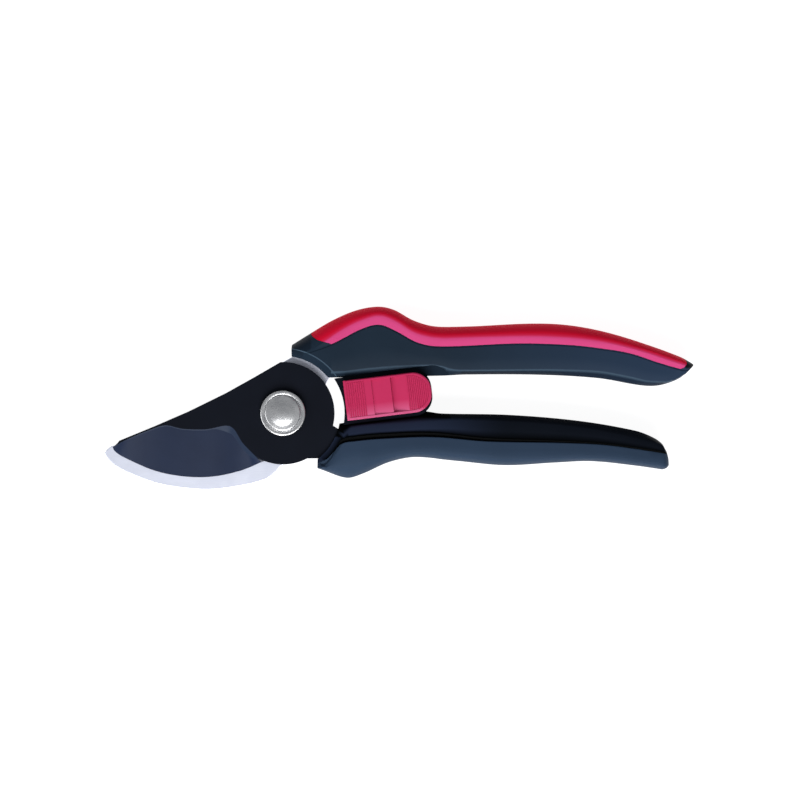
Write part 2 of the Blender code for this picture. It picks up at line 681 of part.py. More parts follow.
def add_detent_spring(material, frame):
    """A bowed leaf in the button's hollow that presses on the base."""
    steps = 10
    half = DETENT_HALF_WIDTH
    rings = []
    for step in range(steps + 1):
        share = step / steps
        u = DETENT_START + (DETENT_END - DETENT_START) * share
        z = BUTTON_BOTTOM + (DETENT_RISE - LEAF_THICKNESS) * math.sin(math.pi * share) + 0.1
        rings.append([(u, -half, z), (u, half, z), (u, half, z + LEAF_THICKNESS), (u, -half, z + LEAF_THICKNESS)])
    add_loft("detent_spring", rings, material, frame)


def catch_box(grow):
    """The catch's two corners in the tool's frame."""
    x, _ = in_world(CATCH_U, 0)
    edge = height_at(LOWER_INNER, x / FRONT_LENGTH)
    return (x - grow, edge - CATCH_BELOW - grow), (x + CATCH_LENGTH + grow, edge + CATCH_ABOVE)


def add_catch(material, core, parent):
    """The steel catch in the lower handle's inner edge, and its pocket."""
    bottom = MIDDLE - 0.8
    (x0, y0), (x1, y1) = catch_box(0.0)
    outline = ((x0, y0), (x1, y0), (x1, y1), (x0, y1))
    add_plate("lock_catch", outline, bottom, bottom + CATCH_HEIGHT, material, parent)
    (x0, y0), (x1, y1) = catch_box(GAP)
    outline = ((x0, y0), (x1, y0), (x1, y1 + 5 * GAP), (x0, y1 + 5 * GAP))
    pocket = add_plate("lock_catch_pocket", outline, bottom - GAP, bottom + CATCH_HEIGHT + GAP, None, parent)
    cut(core, pocket)


# ---- Return spring ----

def inner_edge(side, x):
    """The height of a handle's inner edge at a place in the lock's room."""
    return height_at(HANDLES[side][0], x / FRONT_LENGTH)


def add_seat(name, side, material, parent):
    """A seat for the coil: a disc against the handle's inner edge, with a nub inside the coil."""
    reach = SEAT_RADIUS * 0.8
    if side > 0:
        wall = min(inner_edge(1, SPRING_X - reach), inner_edge(1, SPRING_X + reach)) - GAP
    else:
        wall = max(inner_edge(-1, SPRING_X - reach), inner_edge(-1, SPRING_X + reach)) + GAP
    inwards = -side
    nub = COIL_RADIUS - WIRE_RADIUS - GAP
    profile = (
        (SEAT_RADIUS, wall), (SEAT_RADIUS, wall + inwards * SEAT_THICKNESS),
        (nub, wall + inwards * SEAT_THICKNESS), (nub, wall + inwards * (SEAT_THICKNESS + SEAT_NUB)),
    )
    rings = []
    for radius, y in profile:
        circle = arc(radius, 0, 360, 28)[:-1]
        rings.append([(SPRING_X + a, y, MIDDLE + b) for a, b in circle])
    add_loft(name, rings, material, parent)
    return wall + inwards * (SEAT_THICKNESS + GAP)


def add_return_spring(low, high, material, parent):
    """The compression coil between the two seats, along Y."""
    count = COIL_TURNS * 18
    bottom = low + WIRE_RADIUS
    rise = high - low - 2 * WIRE_RADIUS
    line = bpy.data.curves.new("return_spring", "CURVE")
    line.dimensions = "3D"
    line.bevel_depth = WIRE_RADIUS * MM
    line.bevel_resolution = 1
    line.use_fill_caps = True
    run = line.splines.new("POLY")
    run.points.add(count)
    for index, point in enumerate(run.points):
        angle = 2 * math.pi * COIL_TURNS * index / count
        x = SPRING_X + COIL_RADIUS * math.cos(angle)
        z = MIDDLE + COIL_RADIUS * math.sin(angle)
        point.co = (x * MM, (bottom + rise * index / count) * MM, z * MM, 1)
    line.materials.append(material)
    spring = bpy.data.objects.new("return_spring", line)
    bpy.context.scene.collection.objects.link(spring)
    spring.parent = parent


# ---- Assembly ----

def add_empty(name):
    """An empty that a body's pieces hang from."""
    empty = bpy.data.objects.new(name, None)
    bpy.context.scene.collection.objects.link(empty)
    return empty


def build():
    """Clears the scene and builds the shears."""
    for old in list(bpy.data.objects):
        bpy.data.objects.remove(old)
    coated = make_material("coated_blade_steel", "151a24", 0.42, 0.3)
    bright = make_material("bright_blade_steel", "d8dce6", 0.3, 1.0)
    steel = make_material("zinc_plated_steel", "a5a6a8", 0.35, 1.0)
    bronze = make_material("sintered_bronze", "9c6b3a", 0.45, 1.0)
    slate = make_material("slate_nylon", "263344", 0.55)
    black = make_material("black_nylon", "10141c", 0.5)
    crimson = make_material("crimson_soft_grip", "a0142f", 0.6)
    red = make_material("crimson_button", "c0355f", 0.5)
    spring_wire = make_material("spring_wire", "8b8d90", 0.3, 1.0)

    counter_lever = add_empty("counter_lever")
    cutting_lever = add_empty("cutting_lever")
    slide = lock_frame()

    add_counter_blade(bright, counter_lever)
    add_cutting_blade(coated, cutting_lever)
    add_pivot(steel, bright, bronze, counter_lever)
    upper = add_handle(
        1, ("upper_handle_core", "upper_grip"), (slate, crimson), counter_lever, counter_outline(),
        (COUNTER_BOTTOM, COUNTER_TOP),
    )
    lower = add_handle(
        -1, ("lower_handle_core", "lower_grip"), (black, slate), cutting_lever, cutting_outlines()[0],
        (CUTTING_BOTTOM, CUTTING_TOP),
    )
    add_lock_room(*upper, slide)
    add_lock_room(*lower, slide)
    add_screws(1, ("upper_front_screw", "upper_rear_screw"), steel, counter_lever)
    add_screws(-1, ("lower_front_screw", "lower_rear_screw"), steel, cutting_lever)
    add_lock_base(black, slide, counter_lever)
    add_lock_button(red, slide)
    add_latch(steel, slide)
    add_lock_screw(steel, slide)
    add_detent_spring(spring_wire, slide)
    add_catch(steel, lower[0], cutting_lever)
    low = add_seat("lower_spring_seat", -1, black, cutting_lever)
    high = add_seat("upper_spring_seat", 1, black, counter_lever)
    add_return_spring(low, high, spring_wire, counter_lever)


build()
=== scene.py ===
"""The looks of a pair of bypass pruning shears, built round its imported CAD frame.

Lengths in the classes are in millimetres in the frame's own axes: X along the tool, Y across it and Z
through its thickness, with the pivot's axis at the origin. Meshes are made in metres.
"""

import logging
import math
from dataclasses import dataclass, field
from enum import Enum
from typing import Callable, Sequence

import bmesh
import bpy
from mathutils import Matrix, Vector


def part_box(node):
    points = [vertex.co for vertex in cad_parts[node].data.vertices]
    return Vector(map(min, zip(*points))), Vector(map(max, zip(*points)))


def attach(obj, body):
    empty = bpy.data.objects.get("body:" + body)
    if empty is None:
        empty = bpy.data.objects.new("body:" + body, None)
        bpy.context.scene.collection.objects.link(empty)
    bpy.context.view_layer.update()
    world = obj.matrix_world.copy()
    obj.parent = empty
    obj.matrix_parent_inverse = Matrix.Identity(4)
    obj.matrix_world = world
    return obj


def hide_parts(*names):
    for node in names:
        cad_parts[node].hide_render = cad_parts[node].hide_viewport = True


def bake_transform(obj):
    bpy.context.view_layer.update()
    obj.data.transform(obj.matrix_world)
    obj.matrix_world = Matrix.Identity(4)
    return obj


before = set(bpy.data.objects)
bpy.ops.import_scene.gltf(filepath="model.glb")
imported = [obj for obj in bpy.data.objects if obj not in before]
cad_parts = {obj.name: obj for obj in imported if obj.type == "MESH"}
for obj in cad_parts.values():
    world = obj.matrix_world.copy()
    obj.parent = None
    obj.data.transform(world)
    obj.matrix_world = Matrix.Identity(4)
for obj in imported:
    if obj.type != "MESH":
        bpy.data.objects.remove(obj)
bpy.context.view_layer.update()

MM = 0.001
Point2 = tuple[float, float]
Point3 = tuple[float, float, float]
log = logging.getLogger("shears")


class Side(Enum):
    """The two handles, named by where they lie when the tool is shut, with their way outwards."""

    UPPER = 1
    LOWER = -1


# ---- Curves ----


def height_at(line: Sequence[Point2], place: float) -> float:
    """Reads a smooth line at one place.

    Args:
        line: Points as (place, height), with the places rising.
        place: Where to read it.

    Returns:
        The height there. Past the ends the line goes on straight.
    """
    count = len(line)
    index = 0
    while index < count - 2 and line[index + 1][0] < place:
        index += 1
    slopes = []
    for near in (index, index + 1):
        before = line[max(near - 1, 0)]
        after = line[min(near + 1, count - 1)]
        slopes.append((after[1] - before[1]) / (after[0] - before[0]))
    (x0, y0), (x1, y1) = line[index], line[index + 1]
    span = x1 - x0
    t = (place - x0) / span
    if t < 0:
        return y0 + slopes[0] * (place - x0)
    if t > 1:
        return y1 + slopes[1] * (place - x1)
    rise = (3 - 2 * t) * t * t
    return y0 * (1 - rise) + y1 * rise + span * (slopes[0] * t * (1 - t) ** 2 - slopes[1] * t * t * (1 - t))


def straight_at(line: Sequence[Point2], place: float) -> float:
    """Reads a line of straight runs at one place, level past its ends."""
    if place <= line[0][0]:
        return line[0][1]
    for (x0, y0), (x1, y1) in zip(line, line[1:]):
        if place <= x1:
            return y0 + (y1 - y0) * (place - x0) / (x1 - x0)
    return line[-1][1]


def curve_through(points: Sequence[Point2], steps: int) -> list[Point2]:
    """Spreads points evenly along a smooth curve.

    Args:
        points: What the curve passes through.
        steps: How many runs it is divided into.

    Returns:
        steps + 1 points.
    """
    fine: list[Point2] = []
    last = len(points) - 1
    for index in range(last):
        p0, p1, p2, p3 = (points[max(0, min(last, index + k))] for k in (-1, 0, 1, 2))
        for part in range(8):
            t = part / 8
            fine.append(tuple(
                0.5 * (
                    2 * b + (c - a) * t + (2 * a - 5 * b + 4 * c - d) * t * t
                    + (3 * b - a - 3 * c + d) * t ** 3
                )
                for a, b, c, d in zip(p0, p1, p2, p3)
            ))
    fine.append(tuple(points[last]))
    reach = [0.0]
    for a, b in zip(fine, fine[1:]):
        reach.append(reach[-1] + math.dist(a, b))
    spread = []
    for step in range(steps + 1):
        wanted = reach[-1] * step / steps
        index = max(i for i in range(len(reach) - 1) if reach[i] <= wanted + 1e-9)
        share = (wanted - reach[index]) / (reach[index + 1] - reach[index])
        spread.append(tuple(a + (b - a) * share for a, b in zip(fine[index], fine[index + 1])))
    return spread


def arc(radius: float, start: float, end: float, steps: int, centre: Point2 = (0.0, 0.0)) -> list[Point2]:
    """Places points along an arc between two angles in degrees."""
    angles = [math.radians(start + (end - start) * step / steps) for step in range(steps + 1)]
    return [(centre[0] + radius * math.cos(a), centre[1] + radius * math.sin(a)) for a in angles]


def grown(outline: Sequence[Point2], by: float) -> list[Point2]:
    """Moves an anticlockwise outline outwards by a distance."""
    moved = []
    for index, point in enumerate(outline):
        before = outline[index - 1]
        after = outline[(index + 1) % len(outline)]
        normals = []
        for a, b in ((before, point), (point, after)):
            length = math.dist(a, b)
            normals.append(((b[1] - a[1]) / length, (a[0] - b[0]) / length))
        x = normals[0][0] + normals[1][0]
        y = normals[0][1] + normals[1][1]
        scale = by * 2 / max(x * x + y * y, 0.8)
        moved.append((point[0] + x * scale, point[1] + y * scale))
    return moved


def smooth_step(low: float, high: float, value: float) -> float:
    """Rises smoothly from 0 at low to 1 at high."""
    t = min(max((value - low) / (high - low), 0.0), 1.0)
    return t * t * (3 - 2 * t)


# ---- Meshes ----


def make_piece(
    name: str, points: Sequence[Point3], faces: Sequence[Sequence[int]],
    materials: Sequence[bpy.types.Material] = (), angle: float = 30.0,
) -> bpy.types.Object:
    """Makes a closed mesh object with its faces turned outwards.

    Args:
        name: The object's name.
        points: Vertices in millimetres.
        faces: Vertex numbers of each face.
        materials: The materials of its slots.
        angle: Edges sharper than this many degrees stay crisp.

    Returns:
        The new object.
    """
    mesh = bpy.data.meshes.new(name)
    mesh.from_pydata([tuple(c * MM for c in point) for point in points], [], [tuple(face) for face in faces])
    builder = bmesh.new()
    builder.from_mesh(mesh)
    bmesh.ops.recalc_face_normals(builder, faces=builder.faces)
    builder.to_mesh(mesh)
    builder.free()
    for material in materials:
        mesh.materials.append(material)
    mesh.shade_smooth()
    mesh.set_sharp_from_angle(angle=math.radians(angle))
    made = bpy.data.objects.new(name, mesh)
    bpy.context.scene.collection.objects.link(made)
    return made


def side_faces(rings: int, size: int) -> list[list[int]]:
    """The faces between rings that lie one after another.

    Args:
        rings: How many rings there are.
        size: How many points each has.

    Returns:
        Each face as the numbers of its points.
    """
    faces = []
    for start in range(0, (rings - 1) * size, size):
        for index in range(size):
            low, after = start + index, start + (index + 1) % size
            faces.append([low, after, after + size, low + size])
    return faces


def make_loft(
    name: str, rings: Sequence[Sequence[Point3]], materials: Sequence[bpy.types.Material] = (),
    angle: float = 30.0,
) -> bpy.types.Object:
    """Makes a closed solid through rings with the same number of points each."""
    size = len(rings[0])
    points = [point for ring in rings for point in ring]
    faces = side_faces(len(rings), size)
    faces.append(list(range(size))[::-1])
    faces.append([(len(rings) - 1) * size + index for index in range(size)])
    return make_piece(name, points, faces, materials, angle)


def make_plate(
    name: str, outline: Sequence[Point2], levels: Sequence[float],
    materials: Sequence[bpy.types.Material] = (),
) -> bpy.types.Object:
    """Makes a flat plate between the first and the last level."""
    return make_loft(name, [[(x, y, z) for x, y in outline] for z in levels], materials)


def make_turned(
    name: str, profile: Sequence[Point2], materials: Sequence[bpy.types.Material] = (),
    sides: int = 96, centre: Point2 = (0.0, 0.0),
) -> bpy.types.Object:
    """Makes a solid turned about a vertical axis, from (radius, height) up its outer side."""
    rings = [[(x, y, z) for x, y in arc(radius, 0, 360, sides, centre)[:-1]] for radius, z in profile]
    return make_loft(name, rings, materials)


def bake(piece: bpy.types.Object) -> None:
    """Turns a piece's modifiers into plain mesh."""
    evaluated = piece.evaluated_get(bpy.context.evaluated_depsgraph_get())
    mesh = bpy.data.meshes.new_from_object(evaluated)
    old = piece.data
    piece.modifiers.clear()
    piece.data = mesh
    mesh.name = piece.name
    bpy.data.meshes.remove(old)


def combine(
    piece: bpy.types.Object, tools: Sequence[bpy.types.Object], operation: str = "DIFFERENCE",
) -> None:
    """Cuts tools out of a piece, or keeps what they share, and removes the tools.

    Args:
        piece: The piece that changes.
        tools: Closed meshes, used one after another.
        operation: DIFFERENCE or INTERSECT.
    """
    for tool in tools:
        modifier = piece.modifiers.new("shape", "BOOLEAN")
        modifier.operation = operation
        modifier.solver = "EXACT"
        modifier.object = tool
    bake(piece)
    for tool in tools:
        mesh = tool.data
        bpy.data.objects.remove(tool)
        bpy.data.meshes.remove(mesh)


def soften(piece: bpy.types.Object, width: float) -> None:
    """Rounds a piece's sharp edges by a width in millimetres."""
    modifier = piece.modifiers.new("round", "BEVEL")
    modifier.width = width * MM
    modifier.segments = 2
    modifier.limit_method = "ANGLE"
    modifier.angle_limit = math.radians(40)
    bake(piece)
    piece.data.shade_smooth()
    piece.data.set_sharp_from_angle(angle=math.radians(30))
    for face in piece.data.polygons:
        face.use_smooth = face.area < (4 * MM) ** 2


def keep_zones_crisp(piece: bpy.types.Object) -> None:
    """Marks the edges between faces of different finishes as sharp."""
    builder = bmesh.new()
    builder.from_mesh(piece.data)
    for edge in builder.edges:
        zones = {face.material_index for face in edge.link_faces}
        edge.smooth = len(zones) == 1 and edge.calc_face_angle(0.0) < math.radians(25)
    builder.to_mesh(piece.data)
    builder.free()


def paint_points(piece: bpy.types.Object, name: str, amount: Callable[[float, float, float], float]) -> None:
    """Stores a share from 0 to 1 on a piece's points, worked out from their places in millimetres."""
    layer = piece.data.attributes.new(name, "FLOAT", "POINT")
    values = [amount(*(c / MM for c in vertex.co)) for vertex in piece.data.vertices]
    layer.data.foreach_set("value", values)


def settle(piece: bpy.types.Object, body: str, nodes: Sequence[str]) -> None:
    """Hands a finished piece to the frame.

    Args:
        piece: The finished piece.
        body: The CAD body it moves with.
        nodes: The CAD nodes it stands for.
    """
    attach(piece, body)
    if nodes:
        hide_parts(*nodes)
    log.info("%s: %d faces on %s", piece.name, len(piece.data.polygons), body)


# ---- Node trees ----


def linear(colour: str) -> tuple[float, float, float, float]:
    """Turns an sRGB hex colour to linear channels with full alpha."""
    channels = [int(colour[index:index + 2], 16) / 255 for index in (0, 2, 4)]
    return (*(c / 12.92 if c <= 0.04045 else ((c + 0.055) / 1.055) ** 2.4 for c in channels), 1.0)


def add_node(
    tree: bpy.types.NodeTree, kind: str, values: dict[str | int, object] | None = None,
) -> bpy.types.Node:
    """Adds a node to a tree.

    Args:
        tree: The tree it joins.
        kind: The node's type.
        values: What its properties are set to, and its inputs by name or number. An input is linked to
            a socket, or to a node's first output.

    Returns:
        The new node.
    """
    node = tree.nodes.new(kind)
    for name, value in (values or {}).items():
        source = value.outputs[0] if isinstance(value, bpy.types.Node) else value
        if isinstance(source, bpy.types.NodeSocket):
            tree.links.new(source, node.inputs[name])
        elif isinstance(name, str) and hasattr(node, name):
            setattr(node, name, source)
        else:
            node.inputs[name].default_value = source
    return node


def start_shape(
    name: str, inputs: dict[str, Sequence[str]],
) -> tuple[bpy.types.NodeTree, Sequence[bpy.types.NodeSocket]]:
    """Starts a Geometry Nodes tree.

    Args:
        name: The tree's name.
        inputs: The names of its inputs, by kind of socket.

    Returns:
        The tree and its inputs' sockets.
    """
    tree = bpy.data.node_groups.new(name, "GeometryNodeTree")
    tree.interface.new_socket(name="Geometry", in_out="OUTPUT", socket_type="NodeSocketGeometry")
    for kind, labels in inputs.items():
        for label in labels:
            tree.interface.new_socket(name=label, in_out="INPUT", socket_type=f"NodeSocket{kind}")
    return tree, add_node(tree, "NodeGroupInput").outputs


def end_shape(tree: bpy.types.NodeTree, shape: bpy.types.Node, material: bpy.types.NodeSocket) -> None:
    """Ends a Geometry Nodes tree: its instances are made real and given their material."""
    real = add_node(tree, "GeometryNodeRealizeInstances", {0: shape})
    finish = add_node(tree, "GeometryNodeSetMaterial", {"Geometry": real, "Material": material})
    add_node(tree, "NodeGroupOutput", {0: finish})


def grow_from_tree(name: str, tree: bpy.types.NodeTree, values: dict[str, object]) -> bpy.types.Object:
    """Runs a Geometry Nodes tree into a plain mesh.

    Args:
        name: The piece's name.
        tree: The tree.
        values: Its inputs by name.

    Returns:
        The new object, without modifiers.
    """
    piece = bpy.data.objects.new(name, bpy.data.meshes.new(name))
    bpy.context.scene.collection.objects.link(piece)
    modifier = piece.modifiers.new("grow", "NODES")
    modifier.node_group = tree
    for item in tree.interface.items_tree:
        if item.in_out == "INPUT" and item.name in values:
            modifier[item.identifier] = values[item.name]
    bake(piece)
    piece.data.shade_smooth()
    piece.data.set_sharp_from_angle(angle=math.radians(40))
    return piece


def start_material(name: str) -> tuple[
    bpy.types.Material, bpy.types.NodeTree, bpy.types.Node, bpy.types.NodeSocket,
]:
    """Starts a material.

    Args:
        name: The real material and how it was made.

    Returns:
        The material, its tree, its shader and the object coordinates in metres.
    """
    material = bpy.data.materials.new(name)
    material.use_nodes = True
    tree = material.node_tree
    place = add_node(tree, "ShaderNodeTexCoord").outputs["Object"]
    return material, tree, tree.nodes["Principled BSDF"], place


def roughen(
    tree: bpy.types.NodeTree, shader: bpy.types.Node, height: bpy.types.Node, roughness: Point2,
    strength: float,
    relief: float,
) -> None:
    """Lets a pattern vary a shader's roughness and raise its surface.

    Args:
        tree: The material's tree.
        shader: Its shader.
        height: The pattern, from 0 to 1.
        roughness: The roughness where the pattern is 0 and where it is 1.
        strength: How much of the relief is used.
        relief: The pattern's height in millimetres.
    """
    rough = add_node(tree, "ShaderNodeMapRange", {3: roughness[0], 4: roughness[1], 0: height})
    bump = add_node(tree, "ShaderNodeBump", {"Strength": strength, "Distance": relief * MM, "Height": height})
    tree.links.new(rough.outputs[0], shader.inputs["Roughness"])
    tree.links.new(bump.outputs[0], shader.inputs["Normal"])


# ---- Finishes ----


REAR_PAINTED_LIGHT = (55.0, 130.0)  # mm along X, where the painted light that pales the rear starts and where it is full
# Half the width of the painted highlight ring about the pivot
HIGHLIGHT_RING_HALF_WIDTH = 0.2  # mm


@dataclass(frozen=True)
class MouldedPlastic:
    """Injection-moulded nylon or elastomer with a fine spark-eroded grain.

    The grain breaks up the highlight, and slow waves of a second shade give the uneven flow of the melt.
    """

    name: str
    colour: str
    shade: str
    roughness: float
    specular: float
    grain: float = 0.35  # mm; a real grain of about 0.1 mm wouldn't show
    relief: float = 0.02  # mm
    waves: float = 14.0  # mm
    crown: str | None = None  # painted shade: colour of the points marked as crown
    edge: str | None = None  # painted highlight: colour of the points marked as edge
    rear: str | None = None  # painted light: a paler colour towards the tool's rear end
    ring: float | None = None  # mm; radius about the pivot of a painted highlight line in the edge's colour

    def make(self) -> bpy.types.Material:
        """Builds the material."""
        material, tree, shader, place = start_material(self.name)
        wave = add_node(
            tree, "ShaderNodeTexNoise", {"Scale": 1 / (self.waves * MM), "Detail": 3.0, "Vector": place},
        )
        colour = linear(self.colour)
        layers = [(wave, self.shade)]
        # Painted light: the colour turns paler towards the rear
        if self.rear:
            along = add_node(tree, "ShaderNodeSeparateXYZ", {0: place})
            start, end = REAR_PAINTED_LIGHT
            layers.append(
                (add_node(tree, "ShaderNodeMapRange", {1: start * MM, 2: end * MM, 0: along}), self.rear)
            )
        # Painted marks: the edge colour paints highlights and the crown colour paints shade on the points so
        # marked
        for name, shade in (("edge", self.edge), ("crown", self.crown)):
            if shade:
                mark = add_node(tree, "ShaderNodeAttribute", {"attribute_name": name})
                layers.append((mark.outputs["Fac"], shade))
        # Painted highlight: a thin line about the pivot in the edge colour
        if self.ring:
            flat = add_node(tree, "ShaderNodeVectorMath", {"operation": "MULTIPLY", 1: (1, 1, 0), 0: place})
            reach = add_node(tree, "ShaderNodeVectorMath", {"operation": "LENGTH", 0: flat}).outputs["Value"]
            line = {"operation": "COMPARE", 1: self.ring * MM, 2: HIGHLIGHT_RING_HALF_WIDTH * MM, 0: reach}
            layers.append((add_node(tree, "ShaderNodeMath", line), self.edge))
        for share, shade in layers:
            mix = {"data_type": "RGBA", 0: share, 6: colour, 7: linear(shade)}
            colour = add_node(tree, "ShaderNodeMix", mix).outputs[2]
        tree.links.new(colour, shader.inputs["Base Color"])
        grain = add_node(
            tree, "ShaderNodeTexNoise", {"Scale": 1 / (self.grain * MM), "Detail": 2.0, "Vector": place},
        )
        roughen(tree, shader, grain, (self.roughness - 0.06, self.roughness + 0.06), 0.5, self.relief)
        shader.inputs["Specular IOR Level"].default_value = self.specular
        return material


@dataclass(frozen=True)
class BladeCoat:
    """Low-friction fluoropolymer coat on steel, sprayed and baked.

    It is nearly matt, with faint specks, and the ground faces below it show as fine lines across the bevel.
    """

    name: str
    colour: str
    shade: str
    roughness: float
    specular: float
    lines: float = 0.0  # strength of the grinding lines
    line_angle: float = 20.0
    line: Point3 = (0.5, 14.0, 14.0)  # mm; a real line of about 0.1 mm wouldn't show
    speck: float = 0.4  # mm
    cloud: float = 9.0  # mm

    def make(self) -> bpy.types.Material:
        """Builds the material."""
        material, tree, shader, place = start_material(self.name)
        cloud = add_node(
            tree, "ShaderNodeTexNoise", {"Scale": 1 / (self.cloud * MM), "Detail": 4.0, "Vector": place},
        )
        mix = {"data_type": "RGBA", 6: linear(self.colour), 7: linear(self.shade), 0: cloud}
        tree.links.new(add_node(tree, "ShaderNodeMix", mix).outputs[2], shader.inputs["Base Color"])
        turn = add_node(tree, "ShaderNodeMapping", {
            "Rotation": (0, 0, math.radians(self.line_angle)),
            "Scale": tuple(1 / (size * MM) for size in self.line),
            "Vector": place,
        })
        lines = add_node(tree, "ShaderNodeTexNoise", {"Scale": 1.0, "Detail": 2.0, "Vector": turn})
        specks = add_node(
            tree, "ShaderNodeTexNoise", {"Scale": 1 / (self.speck * MM), "Detail": 2.0, "Vector": place},
        )
        height = add_node(tree, "ShaderNodeMix", {0: self.lines, 2: specks, 3: lines})
        roughen(tree, shader, height, (self.roughness - 0.08, self.roughness + 0.08), 0.4, 0.012)
        shader.inputs["Specular IOR Level"].default_value = self.specular
        return material


@dataclass(frozen=True)
class BareMetal:
    """Steel or bronze, ground, plated or pressed.

    Lines or a peened grain spread the reflection, and their strength sets how satin it looks.
    """

    name: str
    colour: str
    shade: str
    roughness: float
    grain: Point3 = (0.3, 0.3, 0.3)  # mm along X, Y and Z
    relief: float = 0.01  # mm
    cloud: float = 5.0  # mm

    def make(self) -> bpy.types.Material:
        """Builds the material."""
        material, tree, shader, place = start_material(self.name)
        lay = add_node(tree, "ShaderNodeMapping", {
            "Scale": tuple(1 / (size * MM) for size in self.grain), "Vector": place,
        })
        grain = add_node(tree, "ShaderNodeTexNoise", {"Scale": 1.0, "Detail": 3.0, "Vector": lay})
        cloud = add_node(
            tree, "ShaderNodeTexNoise", {"Scale": 1 / (self.cloud * MM), "Detail": 3.0, "Vector": place},
        )
        both = add_node(tree, "ShaderNodeMath", {"operation": "MULTIPLY", 0: grain, 1: cloud})
        share = add_node(tree, "ShaderNodeMapRange", {1: 0.1, 2: 0.45, 0: both})
        mix = {"data_type": "RGBA", 6: linear(self.colour), 7: linear(self.shade), 0: share}
        tree.links.new(add_node(tree, "ShaderNodeMix", mix).outputs[2], shader.inputs["Base Color"])
        roughen(tree, shader, grain, (self.roughness - 0.08, self.roughness + 0.1), 0.6, self.relief)
        shader.inputs["Metallic"].default_value = 1.0
        return material


@dataclass
class Finishes:
    """Every finish on the shears, made once."""

    # Baked fluoropolymer on the blade: nearly matt and almost black, so that only its outline reads
    coat: bpy.types.Material = field(default_factory=BladeCoat(
        "baked_fluoropolymer_coat", "0c0f17", "10141e", 0.5, 0.06).make)
    # The same coat over ground steel: bluer and smoother, with faint lines across the bevel
    bevel: bpy.types.Material = field(default_factory=BladeCoat(
        "coated_ground_bevel", "1a2338", "1f2a42", 0.42, 0.08, 0.7, -70.0).make)
    # The band where the wheel leaves the bevel: a paler colour paints the light the coat catches on its curve
    heel: bpy.types.Material = field(default_factory=BladeCoat(
        "coated_bevel_heel_painted_highlight", "222d41", "273348", 0.4, 0.1).make)
    # Ground high-carbon steel: pale and satin, with lines along the hook that blur what it mirrors
    ground_steel: bpy.types.Material = field(default_factory=BareMetal(
        "ground_high_carbon_steel", "eaeefb", "dde1f1", 0.42, (4.0, 0.25, 0.25), 0.004).make)
    # Bolt steel tumbled in a barrel: bright, with a fine peened sparkle
    bolt_steel: bpy.types.Material = field(default_factory=BareMetal(
        "barrel_finished_bolt_steel", "ffffff", "b9bbbf", 0.25, (0.3, 0.3, 0.3), 0.016).make)
    # Zinc plate on pressed and turned parts: a grey, slightly cloudy mirror
    zinc: bpy.types.Material = field(default_factory=BareMetal(
        "zinc_plated_steel", "a9abae", "8b8e93", 0.38, (0.4, 0.4, 0.4), 0.008).make)
    # Bronze pressed from powder and soaked in oil: brown and open-grained
    bronze: bpy.types.Material = field(default_factory=BareMetal(
        "sintered_oil_bronze", "a5743f", "83572c", 0.5, (0.15, 0.15, 0.15), 0.02).make)
    # Glass-filled nylon from a spark-eroded mould: matt slate, with a painted highlight on the panel edge and
    # on a ring round the pivot, painted light that pales it to the rear, and painted shade on the rear tip,
    # the front facets and the band under the panel edge
    slate: bpy.types.Material = field(default_factory=MouldedPlastic(
        "moulded_slate_nylon", "182431", "1f2d3b", 0.5, 0.05, crown="070a12", edge="3e5060", rear="25354a",
        ring=22.5).make)
    # The same nylon in black: painted shade darkens the groove and the recess, and a painted highlight
    # lightens the lower handle's front facet
    black: bpy.types.Material = field(default_factory=MouldedPlastic(
        "moulded_black_nylon", "0e1219", "12161e", 0.45, 0.02, crown="020304", edge="222a3d").make)
    # Soft elastomer moulded over the core: matt blue slate without a highlight
    slate_grip: bpy.types.Material = field(default_factory=MouldedPlastic(
        "soft_slate_elastomer", "2a394c", "2f3f54", 0.6, 0.06).make)
    # The same elastomer in two painted tones: pink with a painted sheen on the face, and painted shade in
    # crimson over the crest and down the back
    crimson_grip: bpy.types.Material = field(default_factory=MouldedPlastic(
        "soft_crimson_elastomer", "c84078", "ce4a80", 0.55, 0.02, crown="cc1030").make)
    # Acetal for the button: denser and a little smoother, with a painted highlight on its lower rim
    button: bpy.types.Material = field(default_factory=MouldedPlastic(
        "moulded_crimson_acetal", "b92c57", "c2325e", 0.5, 0.06, grain=0.3, edge="cf5c86").make)
    # Drawn spring wire: grey and bright along its length
    wire: bpy.types.Material = field(default_factory=BareMetal(
        "drawn_spring_wire", "9a9ca0", "7c7f84", 0.3, (0.2, 0.2, 0.2), 0.006).make)


# ---- Sizes shared by the pieces ----


